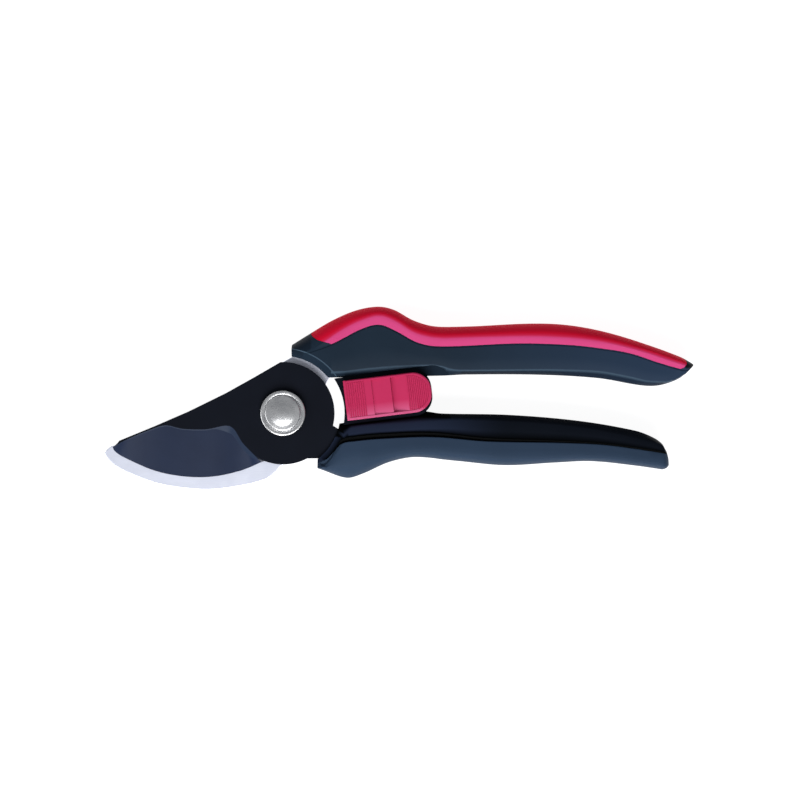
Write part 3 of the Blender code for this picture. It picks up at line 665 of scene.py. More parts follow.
@dataclass(frozen=True)
class Layout:
    """Sizes and levels that several pieces share."""

    gap: float = 0.3
    middle: float = 8.75
    thickness: float = 17.5
    counter: Point2 = (5.3, 8.6)
    cutting: Point2 = (8.9, 12.1)
    edge_land: float = 0.3
    boss: float = 17.8
    collar: float = 19.9
    blade_length: float = 59.5
    bushing: float = 5.5
    front_length: float = 55.0
    tang_end: float = 47.9
    tang_round: float = 3.0
    lock_origin: Point2 = (21.7, 4.3)
    lock_angle: float = 7.0
    lock_length: float = 30.0
    lock_width: float = 13.9
    base_width: float = 16.4
    lock_round: float = 6.5
    lock_travel: float = 7.0
    lock_start: float = 3.9
    base_bottom: float = 12.7
    screw_radius: float = 1.6
    screw_head: float = 2.9
    screw_levels: Point3 = (1.6, 3.4, 12.9)

    def lock_point(self, u: float, w: float) -> Point2:
        """Turns a place along and across the slide lock into the frame's X and Y."""
        a = math.radians(self.lock_angle)
        x0, y0 = self.lock_origin
        return x0 + u * math.cos(a) - w * math.sin(a), y0 + u * math.sin(a) + w * math.cos(a)

    def lock_outline(self, grow: float, width: float, travel: float = 0.0, lead: float = 0.0) -> list[Point2]:
        """The slide lock's rounded outline in the frame's X and Y.

        Args:
            grow: How far it is moved outwards.
            width: Its width.
            travel: How much longer it is at its rear end.
            lead: How much longer it is at its front end.

        Returns:
            Its points, anticlockwise.
        """
        half = width / 2 + grow
        start = -grow - lead
        end = self.lock_length + grow + travel
        rounding = min(self.lock_round + grow, half - 1)
        front = min(1.5 + grow, half - 1)
        points = (
            arc(front, 180, 270, 4, (start + front, front - half))
            + arc(rounding, -90, 0, 12, (end - rounding, rounding - half))
            + arc(rounding, 0, 90, 12, (end - rounding, half - rounding))
            + arc(front, 90, 180, 4, (start + front, half - front))
        )
        return [self.lock_point(u, w) for u, w in points]

    def ahead(self, line: Sequence[Point2]) -> list[Point2]:
        """Turns shares of the blade's length into places towards -X."""
        return [(-share * self.blade_length, height) for share, height in line]

    def tang(self, side: Side) -> list[Point2]:
        """The outline of a tang, from its lower root round its end to its upper root."""
        if side is Side.UPPER:
            low, high, root_low, root_high = 16.6, 23.6, (15.6, 11.9), (10.0, 23.6)
        else:
            low, high, root_low, root_high = -14.4, -7.6, (9.2, -15.3), (17.1, -4.9)
        rounding = self.tang_round
        ends = arc(rounding, -90, 0, 4, (self.tang_end - rounding, low + rounding))
        ends += arc(rounding, 0, 90, 4, (self.tang_end - rounding, high - rounding))
        shoulder = (self.collar + 2.5, low if side is Side.UPPER else high)
        if side is Side.UPPER:
            return [root_low, shoulder, *ends, root_high]
        return [root_low, (self.collar, low - 1.2), *ends, shoulder]

    def screw_places(self, side: Side) -> list[Point2]:
        """The two tang screws' places in a handle."""
        y = 20.1 if side is Side.UPPER else -11.0
        return [(self.tang_end - 18.0, y), (self.tang_end - 5.0, y)]


LAYOUT = Layout()


# ---- Blades ----


@dataclass
class CuttingBlade:
    """The coated cutting blade: a flat boss and spine, and a bevel ground down to the edge."""

    finishes: Finishes
    spine: tuple[Point2, ...] = ((0.956, -9.5), (0.755, -4.6), (0.553, 0.6), (0.334, 7.0), (0.166, 12.6))
    edge: tuple[Point2, ...] = (
        (1, -11.9), (0.985, -13.4), (0.923, -15.7), (0.755, -20.0), (0.587, -22.0), (0.418, -22.1),
        (0.25, -20.0),
        (0.114, -16.6),
    )
    bevel: tuple[Point2, ...] = (
        (0.972, -11.0), (0.9, -8.8), (0.8, -6.3), (0.69, -4.2), (0.587, -5.4), (0.45, -5.6), (0.31, -4.5),
        (0.235, -10.4), (0.15, -15.6),
    )
    steps: int = 52
    plunge_width: float = 2.4  # of the band that the grinding wheel leaves at the bevel's heel
    plunge_drop: float = 1.0

    def outlines(self) -> tuple[list[Point2], list[Point2], list[Point2]]:
        """The blade's lines: the edge, the line where the bevel starts, and the rest of the outline."""
        rim = LAYOUT.boss
        back = [
            *arc(rim, -111, -62, 14), *LAYOUT.tang(Side.LOWER)[1:], *arc(rim, -14, 93, 34),
            *LAYOUT.ahead(self.spine)[::-1],
        ]
        edge = curve_through(LAYOUT.ahead(self.edge), self.steps)
        bevel = curve_through(LAYOUT.ahead(self.bevel), self.steps)
        return edge[:-1], bevel[:-1], back

    def build(self) -> bpy.types.Object:
        """Makes the blade and puts it in the frame."""
        edge, bevel, back = self.outlines()
        count = len(edge)
        bottom, top = LAYOUT.cutting
        land = bottom + LAYOUT.edge_land
        heel: list[Point2] = []
        drops: list[float] = []
        for index, (a, b) in enumerate(zip(bevel, edge)):
            share = smooth_step(0.62, 0.74, index / count)
            width = 0.35 + (self.plunge_width - 0.35) * share
            reach = min(width / math.dist(a, b), 0.5)
            heel.append((a[0] + (b[0] - a[0]) * reach, a[1] + (b[1] - a[1]) * reach))
            drops.append(0.12 + (self.plunge_drop - 0.12) * share * min(1.0, math.dist(a, b) / 6))
        flat = [(x, y, top) for x, y in back]
        rings = [
            [(x, y, bottom) for x, y in edge + back],
            [(x, y, land) for x, y in edge + back],
            [(x, y, top - drop) for (x, y), drop in zip(heel, drops)] + flat,
            [(x, y, top) for x, y in bevel] + flat,
        ]
        points: list[Point3] = [p for ring in rings[:3] for p in ring] + rings[3][:count]
        size = len(rings[0])
        faces = side_faces(3, size)
        upper = [3 * size + index for index in range(count)]
        low = [2 * size + index for index in range(size)]
        for index in range(count - 1):
            faces.append([low[index], low[index + 1], upper[index + 1], upper[index]])
        faces.append([low[count - 1], low[count], upper[count - 1]])
        faces.append([low[-1], low[0], upper[0]])
        faces.append([*upper, *low[count:]])
        faces.append(list(range(size))[::-1])
        finishes = (self.finishes.coat, self.finishes.bevel, self.finishes.heel)
        blade = make_piece("cutting_blade_ground", points, faces, finishes, 12.0)
        for index in range(count - 1):
            blade.data.polygons[size + index].material_index = 1
            blade.data.polygons[2 * size + index].material_index = 2
        hole = make_turned(
            "hole", ((LAYOUT.bushing + LAYOUT.gap, bottom - 1), (LAYOUT.bushing + LAYOUT.gap, top + 1)),
        )
        drills = [hole]
        for place in LAYOUT.screw_places(Side.LOWER):
            radius = LAYOUT.screw_radius + LAYOUT.gap
            drills.append(make_turned("hole", ((radius, bottom - 1), (radius, top + 1)), (), 32, place))
        combine(blade, drills)
        keep_zones_crisp(blade)
        settle(blade, "cutting_lever", ["cutting_blade"])
        return blade


@dataclass
class CounterBlade:
    """The bright counter blade: a ground hook, a boss behind the cutting blade's, and a tang."""

    finishes: Finishes
    outer: tuple[Point2, ...] = (
        (1.008, -11.4), (1.04, -13.0), (1.042, -14.9), (0.956, -19.4), (0.755, -24.3), (0.587, -26.2),
        (0.418, -26.7), (0.25, -25.4), (0.116, -23.4), (0.06, -21.2), (0.02, -18.6),
    )
    inner: tuple[Point2, ...] = (
        (0.31, -4.0), (0.27, -10.0), (0.33, -15.4), (0.5, -18.6), (0.7, -18.2), (0.88, -13.8), (0.97, -11.0),
    )

    def outline(self) -> list[Point2]:
        """The blade's outline, anticlockwise."""
        length = LAYOUT.blade_length
        return [
            *curve_through(LAYOUT.ahead(self.outer), 60), *arc(LAYOUT.boss - LAYOUT.gap, -88, 34, 30),
            *LAYOUT.tang(Side.UPPER), (2.6, 19.4), (-0.07 * length, 15.7), (-0.2 * length, 10.7),
            *arc(LAYOUT.boss - 1.5, 150, 176, 5), *curve_through(LAYOUT.ahead(self.inner), 40),
        ]

    def build(self) -> bpy.types.Object:
        """Makes the blade and puts it in the frame."""
        bottom, top = LAYOUT.counter
        blade = make_plate(
            "counter_blade_ground", self.outline(), (bottom, top), (self.finishes.ground_steel,),
        )
        radius = LAYOUT.bushing + LAYOUT.gap
        drills = [make_turned("hole", ((radius, bottom - 1), (radius, top + 1)))]
        for place in LAYOUT.screw_places(Side.UPPER):
            radius = LAYOUT.screw_radius + LAYOUT.gap
            drills.append(make_turned("hole", ((radius, bottom - 1), (radius, top + 1)), (), 32, place))
        combine(blade, drills)
        soften(blade, 0.3)
        settle(blade, "counter_lever", ["counter_blade"])
        return blade


# ---- Pivot ----


@dataclass
class PivotBolt:
    """The bolt: a domed head with a stepped rim, and its shank."""

    finishes: Finishes
    head_radius: float = 7.85
    head_bottom: float = 13.3
    head_height: float = 3.2
    shank_radius: float = 4.0
    shank_bottom: float = 1.4
    dome: float = 0.85

    def build(self) -> bpy.types.Object:
        """Makes the bolt and puts it in the frame."""
        low, radius = self.head_bottom, self.head_radius
        top = low + self.head_height
        disc = radius * 0.79
        profile = [(self.shank_radius, self.shank_bottom), (self.shank_radius, low), (radius - 0.3, low)]
        profile += [(radius, low + 0.3), (radius, low + 1.0)]
        profile += [
            (radius - 0.45 + 0.45 * math.cos(a), low + 1.0 + 0.45 * math.sin(a)) for a in (
                0.4, 0.8, 1.2, 1.57,
            )
        ]
        profile += [
            (disc + 0.35, low + 1.4), (disc + 0.12, low + 1.3), (disc, low + 1.5), (disc - 0.05, top - 1.0),
        ]
        profile += [
            (disc - 0.5 + 0.45 * math.cos(a), top - 1.0 + 0.5 * math.sin(a)) for a in (0.4, 0.8, 1.2, 1.5)
        ]
        for share in (0.85, 0.7, 0.55, 0.4, 0.25, 0.1):
            profile.append(((disc - 0.5) * share, top + 0.05 - self.dome * share * share))
        bolt = make_turned("pivot_bolt_turned", profile, (self.finishes.bolt_steel,), 128)
        settle(bolt, "counter_lever", ["pivot_bolt"])
        return bolt


# ---- Handles ----


@dataclass
class Handle:
    """One handle: a hard core with a soft insert or grip along its outer side."""

    side: Side
    length: float
    inner: tuple[Point2, ...]  # by station: 0 at the pivot, 1 at front_length, 2 at the handle's end
    outer: tuple[Point2, ...]
    panel: tuple[Point2, ...]  # by X: where the face meets the bevel on the inner edge
    seam: tuple[Point2, ...]  # by X: between the core and the soft part
    crest: tuple[Point2, ...]  # by X: along the thickest part
    soft_front: tuple[Point2, ...]  # the soft part's front end, from outside to the seam
    soft_rear: tuple[Point2, ...]  # its rear end, from the seam to outside
    end_round: float
    groove: tuple[Point2, ...] = ((0.0, 0.25), (200.0, 0.25))  # by X: width of the groove beside the seam
    edge_half: float = 4.4

    def station(self, x: float) -> float:
        """Turns a place along X into a station."""
        front = LAYOUT.front_length
        return x / front if x < front else 1 + (x - front) / self.length

    def section(self, x: float) -> list[Point2]:
        """The front half of the section across X.

        Args:
            x: Where it is taken.

        Returns:
            Points as (Y, height above the middle), from the inner edge to the outer edge.
        """
        out = self.side.value
        inner = height_at(self.inner, self.station(x))
        outer = height_at(self.outer, self.station(x))
        panel = inner + out * max(out * (height_at(self.panel, x) - inner), 0.6)
        crest = height_at(self.crest, x)
        crest = outer - out * max(out * (outer - crest), 1.2)
        seam = height_at(self.seam, x)
        seam = crest - out * max(out * (crest - seam), 0.5)
        panel = seam - out * max(out * (seam - panel), 1.5)
        width = straight_at(self.groove, x)
        points = [
            (inner, self.edge_half), (inner + (panel - inner) * 0.55, self.edge_half + 1.9),
            (panel - out * 0.1, 7.2), (panel + out * 0.35, 7.45), (panel + (seam - panel) * 0.5, 7.85),
        ]
        depth = 1.1 * min(width / 1.2, 1.0)
        points += [
            (seam - out * (width + 0.3), 8.0), (seam - out * (width * 0.85 + 0.12), 8.0 - depth * 0.8),
            (seam - out * (width * 0.3 + 0.06), 8.0 - depth), (seam, 8.0 - depth * 0.35),
            (seam + out * 0.25, 8.15),
        ]
        points += [(seam + (crest - seam) * 0.6, 8.55), (crest - out * 0.3, 8.73), (crest + out * 0.3, 8.6)]
        for share in (0.2, 0.4, 0.58, 0.74, 0.88, 0.96, 1.0):
            fall = 1 - (1 - share ** 2.1) ** 0.62
            y = crest + out * 0.3 + (outer - crest - out * 0.3) * share
            points.append((y, 8.6 - 7.3 * fall))
        for index in range(1, len(points)):
            least = points[index - 1][0] + out * 0.03
            if out * (points[index][0] - least) < 0:
                points[index] = (least, points[index][1])
        end = LAYOUT.front_length + self.length
        t = max(0.0, (x - (end - self.end_round)) / self.end_round)
        rounding = (1 - min(t, 0.995) ** 2) ** 0.5
        middle = inner + (outer - inner) * 0.62
        front = min(1.0, 0.8 + 0.2 * x / (LAYOUT.collar + 8))
        scale = (0.25 + 0.75 * rounding) * front
        return [(middle + (y - middle) * rounding, z * scale) for y, z in points]

    def places(self) -> list[float]:
        """Where the sections are taken along X."""
        x = 3.0 if self.side is Side.UPPER else 12.0
        end = LAYOUT.front_length + self.length
        places = []
        while x < end - self.end_round:
            places.append(x)
            x += 0.8
        start = places[-1]
        return places + [start + (end - start) * math.sin(math.radians(angle)) for angle in range(5, 88, 6)]

    def body(self, name: str, material: bpy.types.Material) -> bpy.types.Object:
        """The whole handle's outer shape as one solid."""
        rings = []
        for x in self.places():
            half = self.section(x)
            rings.append(
                [(x, y, LAYOUT.middle + z) for y, z in half] + [
                    (x, y, LAYOUT.middle - z) for y, z in reversed(half)
                ]
            )
        return make_loft(name, rings, (material,), 25.0)

    def soft_region(self, inset: float) -> list[Point2]:
        """The soft part's region, seen from the front, moved inwards by a distance."""
        out = self.side.value
        x0, x1 = self.soft_front[-1][0], self.soft_rear[0][0]
        steps = 90
        run = [(x0 + (x1 - x0) * step / steps) for step in range(1, steps)]
        seam = [(x, height_at(self.seam, x)) for x in run]
        points = [*self.soft_front, *seam, *self.soft_rear]
        if out < 0:
            points = points[::-1]
        return grown(points, -inset)

    def cutters(self, outline: Sequence[Point2], levels: Point2) -> list[bpy.types.Object]:
        """The shapes that make room in a handle.

        Args:
            outline: The tang's blade, seen from the front.
            levels: Its lowest and highest level.

        Returns:
            Cutters for the collar, the tang, the slide lock and the screws.
        """
        gap, mid, collar = LAYOUT.gap, LAYOUT.middle, LAYOUT.collar
        flare = (
            (collar + 4.6, -9.0), (collar + 2.5, -7.0), (collar, -4.6), (collar, 4.6), (collar + 2.5, 7.0),
        )
        profile = [(r, mid + z) for r, z in (*flare, (collar + 4.6, 9.0))]
        tools = [make_turned("collar", profile, (), 144)]
        tools.append(make_plate("tang_slot", grown(outline, gap), (levels[0] - gap, levels[1] + gap)))
        room = LAYOUT.lock_outline(
            0.45, max(LAYOUT.lock_width, LAYOUT.base_width), LAYOUT.lock_travel, LAYOUT.lock_start,
        )
        tools.append(make_plate("lock_room", room, (LAYOUT.base_bottom - gap, LAYOUT.thickness + 9)))
        bottom, neck, top = LAYOUT.screw_levels
        for place in LAYOUT.screw_places(self.side):
            profile = (
                (LAYOUT.screw_head + gap, -1.0), (LAYOUT.screw_head + gap, neck + gap),
                (LAYOUT.screw_radius + gap, neck + gap), (LAYOUT.screw_radius + gap, top + gap),
            )
            tools.append(make_turned("screw_seat", profile, (), 32, place))
        return tools

    def painted_shade_of_soft(self, x: float, y: float, z: float) -> float:
        """Painted shade: how far a point lies over the soft part's crest, from 0 to 1."""
        return smooth_step(-0.5, 0.7, self.side.value * (y - height_at(self.crest, x)))

    def painted_shade_of_core(self, x: float, y: float, z: float) -> float:
        """Painted shade: 1 in the lower core's groove and recess and on the upper core's rear tip, 0.45 on
        its front facets and the band under its panel edge, and 0 elsewhere.
        """
        out = self.side.value
        if self.side is Side.UPPER:
            on_tip = x > 139.0 and y > 15.5
            on_front = x < 9.5 and y > 19.0 + 0.3 * x
            in_band = 62 < x < 136 and y < height_at(self.panel, x) - 0.4
            return 1.0 if on_tip else 0.45 * float(on_front or in_band)
        from_seam = out * (height_at(self.seam, x) - y)
        in_groove = -0.3 < from_seam < straight_at(self.groove, x) + 0.5
        in_recess = x < 58 and out * (height_at(self.panel, x) - y) > 0.2
        return float(in_groove or in_recess)

    def painted_highlight_at(self, x: float, y: float, z: float) -> float:
        """Painted highlight: how far, from 0 to 1, a point is on the panel's edge or the lower handle's front
        facet.
        """
        if self.side is Side.LOWER:
            return (1 - smooth_step(45.0, 80.0, x)) * float(y < height_at(self.panel, x) + 0.2)
        return float(abs(y - height_at(self.panel, x)) < 0.32 and z > LAYOUT.middle + 5)

    def build(
        self, names: Sequence[str], materials: Sequence[bpy.types.Material], slots: Sequence[str], body: str,
        outline: Sequence[Point2], levels: Point2,
    ) -> list[bpy.types.Object]:
        """Makes the core and the soft part and puts them in the frame.

        Args:
            names: The CAD nodes of the core and the soft part.
            materials: Their materials.
            slots: Names of their material slots; not used.
            body: The CAD body they move with.
            outline: The tang's blade, seen from the front.
            levels: Its lowest and highest level.

        Returns:
            The two pieces.
        """
        pieces = []
        for index, name in enumerate(names):
            piece = self.body(f"{name}_moulded", materials[index])
            inset = -0.04 if index == 0 else 0.04
            levels_of_wall = ((-3.0, 0.0), (1.5, 0.0), (LAYOUT.middle, 1.5), (16.0, 0.0), (21.0, 0.0))
            rings = [[(x, y, z) for x, y in self.soft_region(inset + deep)] for z, deep in levels_of_wall]
            combine(piece, [make_loft("soft_region", rings)], "DIFFERENCE" if index == 0 else "INTERSECT")
            combine(piece, self.cutters(outline, levels))
            piece.data.shade_smooth()
            piece.data.set_sharp_from_angle(angle=math.radians(28))
            # The crown mark paints shade and the edge mark paints highlights
            paint_points(piece, "crown", self.painted_shade_of_soft if index else self.painted_shade_of_core)
            paint_points(piece, "edge", self.painted_highlight_at)
            settle(piece, body, [name])
            pieces.append(piece)
        return pieces


def upper_handle() -> Handle:
    """The upper handle's lines."""
    return Handle(
        Side.UPPER, 87.6,
        inner=(
            (0, 12.2), (1, 13.1), (1.1, 13.5), (1.4, 13.4), (1.63, 12.2), (1.83, 9.5), (1.92, 11.2),
            (2, 15.4),
        ),
        outer=(
            (0, 21.9), (0.16, 27.4), (0.31, 32.3), (0.46, 35.8), (0.6, 37.1), (0.7, 36.0), (0.82, 32.4),
            (0.95, 30.3), (1.1, 30.2), (1.35, 31.2), (1.5, 30.7), (1.66, 28.1), (1.85, 22.9), (2, 17.9),
        ),
        panel=(
            (0, 14.4), (20, 14.4), (30, 15.5), (40, 16.3), (50, 16.6), (55, 16.2), (58, 15.3), (62, 14.9),
            (90, 15.1), (100, 14.9), (110, 14.4), (120, 12.6), (127, 11.1), (142, 11.0),
        ),
        seam=(
            (0, 18.5), (8, 20.9), (16.9, 23.9), (20.4, 25.6), (27.5, 29.2), (33.5, 30.6), (39.6, 28.2),
            (46.2, 24.6), (53.9, 23.1), (81.3, 24.1), (98.8, 23.6), (110.0, 22.4), (120.1, 20.7),
            (129.9, 17.5), (137.5, 15.3), (142.6, 14.2),
        ),
        crest=(
            (0, 19.0), (8, 21.4), (14, 24.6), (20, 28.5), (25, 31.2), (30, 33.1), (33, 33.7), (36, 33.2),
            (40, 31.3),
            (45, 28.2), (50, 26.6), (55, 26.0), (60, 26.1), (70, 26.4), (85, 26.7), (95, 26.4), (105, 25.6),
            (115, 23.9), (125, 21.3), (135, 18.0), (142, 15.9),
        ),
        soft_front=((8.0, 60.0), (8.9, 26.9), (12.1, 25.3), (16.9, 23.9)),
        soft_rear=((137.6, 15.3), (138.8, 15.8), (139.7, 16.9), (139.9, 18.2), (139.9, 60.0)),
        end_round=5.0,
    )


def lower_handle() -> Handle:
    """The lower handle's lines."""
    return Handle(
        Side.LOWER, 79.0,
        inner=(
            (0, -6.8), (0.39, -3.3), (0.86, 0.7), (1, -0.1), (1.3, -0.6), (1.6, -2.6), (1.85, -6.0),
            (1.93, -8.4),
            (1.97, -10.7), (2, -14.2),
        ),
        outer=(
            (0.24, -19.6), (0.4, -22.5), (0.5, -21.1), (0.66, -17.2), (0.8, -15.4), (0.92, -15.5),
            (1.08, -16.7),
            (1.28, -18.1), (1.5, -17.2), (1.66, -16.7), (1.85, -18.2), (2, -19.9),
        ),
        panel=(
            (12, -9.0), (21, -7.4), (24, -4.9), (45, -3.1), (55, -2.4), (60, -2.2), (79, -2.7), (102, -4.6),
            (122, -8.4), (134, -11.5),
        ),
        seam=(
            (12, -20.0), (16.5, -16.0), (19.8, -10.9), (25.3, -9.5), (37.4, -8.5), (52.3, -8.1), (70.8, -9.6),
            (94.5, -10.1), (110.3, -10.8), (122.9, -12.4), (134, -14.2),
        ),
        crest=(
            (12, -21.0), (18, -17.5), (22, -15.5), (30, -15.0), (40, -13.2), (50, -12.6), (60, -13.5),
            (80, -15.0),
            (100, -14.6), (115, -15.2), (134, -18.0),
        ),
        soft_front=((12.0, -60.0), (12.0, -16.7), (15.3, -15.7), (19.8, -10.9)),
        soft_rear=((133.0, -14.1), (136.0, -14.6), (140.0, -60.0)),
        end_round=2.5,
        groove=((12.0, 1.5), (45.0, 1.5), (75.0, 0.9), (110.0, 0.3), (134.0, 0.1)),
    )


# ---- Slide lock ----


@dataclass
class SlideLock:
    """The ribbed crimson button, with a raised rim, a thumb hollow and two fields of ribs."""

    finishes: Finishes
    bottom: float = 14.4
    height: float = 4.4
    rim: float = 0.9
    floor_drop: float = 0.35  # from the rim's top to the field between
    ramps: tuple[Point3, ...] = ((9.7, 16.2, 0.5), (16.32, 21.7, 1.3))  # start, end and drop at the start
    front_ribs: int = 8
    front_pitch: float = 0.75
    rear_ribs: int = 11
    rear_pitch: float = 0.65
    rib_radius: float = 0.26
    rib_margin: float = 1.5  # from the button's ends to the first rib and the last
    nose: float = 6.2  # length of the round end
    step: float = 0.5  # between sections
    rim_drop: float = 0.25  # from the top to the rim
    end_drop: float = 0.45  # by which the rim falls further at the ends

    def half_width(self, u: float, inset: float) -> float:
        """Half the outline's width at a place along the lock, moved inwards; 0 past its ends."""
        half = LAYOUT.lock_width / 2 - inset
        end = LAYOUT.lock_length - inset
        rounding = LAYOUT.lock_round - inset * 0.5
        if u < inset or u > end:
            return 0.0
        past = max(0.0, u - (end - rounding))
        return half - rounding + math.sqrt(max(rounding ** 2 - past ** 2, 0.0))

    def top_at(self, u: float) -> float:
        """The level of the field's floor at a place along the lock."""
        top = self.bottom + self.height - self.floor_drop
        for start, end, drop in self.ramps:
            if start <= u <= end:
                return top - drop * (end - u) / (end - start)
        return top

    def painted_rim_highlight_at(self, x: float, y: float, z: float) -> float:
        """Painted highlight: 1 on the rim along the lower side, and 0 elsewhere."""
        x0, y0 = LAYOUT.lock_origin
        a = math.radians(LAYOUT.lock_angle)
        across = (y - y0) * math.cos(a) - (x - x0) * math.sin(a)
        return float(across < self.rim + 0.2 - LAYOUT.lock_width / 2)

    def body(self) -> bpy.types.Object:
        """Makes the button's block."""
        places = [0.0, 0.15, 0.4, 0.8, self.rim, self.rim + 0.12]
        u = self.rim + 0.5
        while u < LAYOUT.lock_length - LAYOUT.lock_round:
            if all(abs(u - start) > 0.2 for start, _, _ in self.ramps):
                places.append(u)
            u += self.step
        places += [start + past for start, _, _ in self.ramps for past in (-0.08, 0.0)]
        end = LAYOUT.lock_length
        places += [end - self.nose + self.nose * math.sin(math.radians(angle)) for angle in range(0, 90, 3)]
        places.sort()
        rings = []
        crown = self.bottom + self.height
        for u in places:
            half = max(self.half_width(u, 0.0), 0.3)
            near = min(u, end - u)
            lip = crown - self.end_drop * (1 - smooth_step(0.0, 0.5, near)) - self.rim_drop
            inner = min(self.half_width(u, self.rim), half - 0.3)
            inner = max(inner, 0.15)
            inside = self.half_width(u, self.rim) > 0.2
            floor = self.top_at(u) if inside else lip + 0.15
            section = [
                (inner / 3, floor), (inner, floor), (inner + 0.05, lip + 0.15),
                ((half + inner) / 2 + 0.1, lip + 0.15),
                (half - 0.12, lip - 0.1), (half, lip - 0.6), (half, self.bottom),
            ]
            section = [(-across, level) for across, level in reversed(section)] + section
            rings.append([(*LAYOUT.lock_point(u, w), z) for w, z in section])
        return make_loft("lock_button_moulded", rings, (self.finishes.button,), 30.0)

    def rib_tree(self) -> bpy.types.NodeTree:
        """The node tree that sets a row of ribs across the lock, each as long as the lock is wide there."""
        tree, sizes = start_shape("lock_ribs", {
            "Int": ("Count",), "Vector": ("Start", "Pitch", "Place", "Turn"),
            "Float": ("Rib Radius", "Half Width", "Corner Start", "Corner Radius"), "Material": ("Material",),
        })
        row = add_node(tree, "GeometryNodeMeshLine", {
            "mode": "OFFSET", "Count": sizes["Count"], "Start Location": sizes["Start"],
            "Offset": sizes["Pitch"],
        })
        bar = add_node(tree, "GeometryNodeMeshCylinder", {
            "Vertices": 12, "Depth": 1.0, "Radius": sizes["Rib Radius"],
        })
        lie = add_node(tree, "GeometryNodeTransform", {"Rotation": (math.pi / 2, 0, 0), "Geometry": bar})
        along = add_node(tree, "ShaderNodeSeparateXYZ", {0: add_node(tree, "GeometryNodeInputPosition")})

        # Half the width left at a rib: the flat part, and what the round corner leaves at that place
        known = {name: sizes[name] for name in ("Half Width", "Corner Start", "Corner Radius")} | {
            "Along": along
        }
        for name, operation, first, second in (
            ("Past", "SUBTRACT", "Along", "Corner Start"), ("Past", "MAXIMUM", "Past", 0.0),
            ("Square", "POWER", "Past", 2.0), ("Full", "POWER", "Corner Radius", 2.0),
            ("Left", "SUBTRACT", "Full", "Square"), ("Root", "SQRT", "Left", 0.0),
            ("Flat", "SUBTRACT", "Half Width", "Corner Radius"), ("Half", "ADD", "Flat", "Root"),
            ("Width", "MULTIPLY", "Half", 2.0),
        ):
            known[name] = add_node(tree, "ShaderNodeMath", {
                "operation": operation, 0: known[first], 1: known.get(second, second),
            })
        scale = add_node(tree, "ShaderNodeCombineXYZ", {"X": 1.0, "Y": known["Width"], "Z": 1.0})
        ribs = add_node(
            tree, "GeometryNodeInstanceOnPoints", {"Points": row, "Instance": lie, "Scale": scale},
        )
        placed = add_node(tree, "GeometryNodeTransform", {
            "Geometry": ribs, "Translation": sizes["Place"], "Rotation": sizes["Turn"],
        })
        end_shape(tree, placed, sizes["Material"])
        return tree

    def ribs(
        self, tree: bpy.types.NodeTree, name: str, count: int, start: float, pitch: float,
    ) -> bpy.types.Object:
        """Makes one field of ribs.

        Args:
            tree: The rib tree.
            name: The piece's name.
            count: How many ribs.
            start: The first rib's place along the lock.
            pitch: The distance between ribs.

        Returns:
            The ribs as one mesh.
        """
        level = self.bottom + self.height - self.floor_drop
        inset = self.rim + 0.1
        rounding = LAYOUT.lock_round - inset * 0.5
        values = {
            "Count": count, "Start": (start * MM, 0, 0), "Pitch": (pitch * MM, 0, 0),
            "Rib Radius": self.rib_radius * MM,
            "Half Width": (LAYOUT.lock_width / 2 - inset) * MM,
            "Corner Start": (LAYOUT.lock_length - inset - rounding) * MM, "Corner Radius": rounding * MM,
            "Place": (LAYOUT.lock_origin[0] * MM, LAYOUT.lock_origin[1] * MM, level * MM),
            "Turn": (0, 0, math.radians(LAYOUT.lock_angle)), "Material": self.finishes.button,
        }
        return grow_from_tree(name, tree, values)

    def build(self) -> list[bpy.types.Object]:
        """Makes the button and its ribs and puts them in the frame."""
        block = self.body()
        # The edge mark paints a highlight on the button's lower rim
        paint_points(block, "edge", self.painted_rim_highlight_at)
        settle(block, "lock", ["lock_button"])
        tree = self.rib_tree()
        rear_start = LAYOUT.lock_length - self.rib_margin - self.rear_pitch * (self.rear_ribs - 1)
        fields = [
            self.ribs(tree, "lock_front_ribs", self.front_ribs, self.rib_margin, self.front_pitch),
            self.ribs(tree, "lock_rear_ribs", self.rear_ribs, rear_start, self.rear_pitch),
        ]
        for ribs in fields:
            settle(ribs, "lock", [])
        return [block, *fields]


# ---- Return spring ----


@dataclass
class ReturnSpring:
    """The compression coil between the handles, behind the lock's base."""

    finishes: Finishes
    wire_radius: float = 0.55
    coil_radius: float = 3.1
    turns: float = 5.0

    def tree(self) -> bpy.types.NodeTree:
        """The node tree that sweeps a round wire along a helix."""
        tree, sizes = start_shape("coil", {
            "Float": ("Turns", "Coil Radius", "Wire Radius", "Length"), "Vector": ("Place",),
            "Material": ("Material",),
        })
        helix = add_node(tree, "GeometryNodeCurveSpiral", {
            "Resolution": 40, "Rotations": sizes["Turns"], "Start Radius": sizes["Coil Radius"],
            "End Radius": sizes["Coil Radius"], "Height": sizes["Length"],
        })
        wire = add_node(tree, "GeometryNodeCurvePrimitiveCircle", {
            "mode": "RADIUS", "Resolution": 12, "Radius": sizes["Wire Radius"],
        })
        swept = add_node(tree, "GeometryNodeCurveToMesh", {
            "Fill Caps": True, "Curve": helix, "Profile Curve": wire,
        })
        placed = add_node(tree, "GeometryNodeTransform", {
            "Rotation": (-math.pi / 2, 0, 0), "Geometry": swept, "Translation": sizes["Place"],
        })
        end_shape(tree, placed, sizes["Material"])
        return tree

    def build(self) -> bpy.types.Object:
        """Makes the coil and hangs it between the two levers."""
        low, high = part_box("return_spring")
        wire = self.wire_radius * MM
        start, end = low[1] + wire * 1.05, high[1] - wire * 1.05
        x, z = (low[0] + high[0]) / 2, (low[2] + high[2]) / 2
        coil = grow_from_tree("return_spring_coil", self.tree(), {
            "Turns": self.turns, "Coil Radius": self.coil_radius * MM, "Wire Radius": wire,
            "Length": end - start,
            "Place": (x, start, z), "Material": self.finishes.wire,
        })
        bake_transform(coil)
        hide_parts("return_spring")
        log.info("%s: %d faces between the levers", coil.name, len(coil.data.polygons))
        return coil


# ---- Screws ----


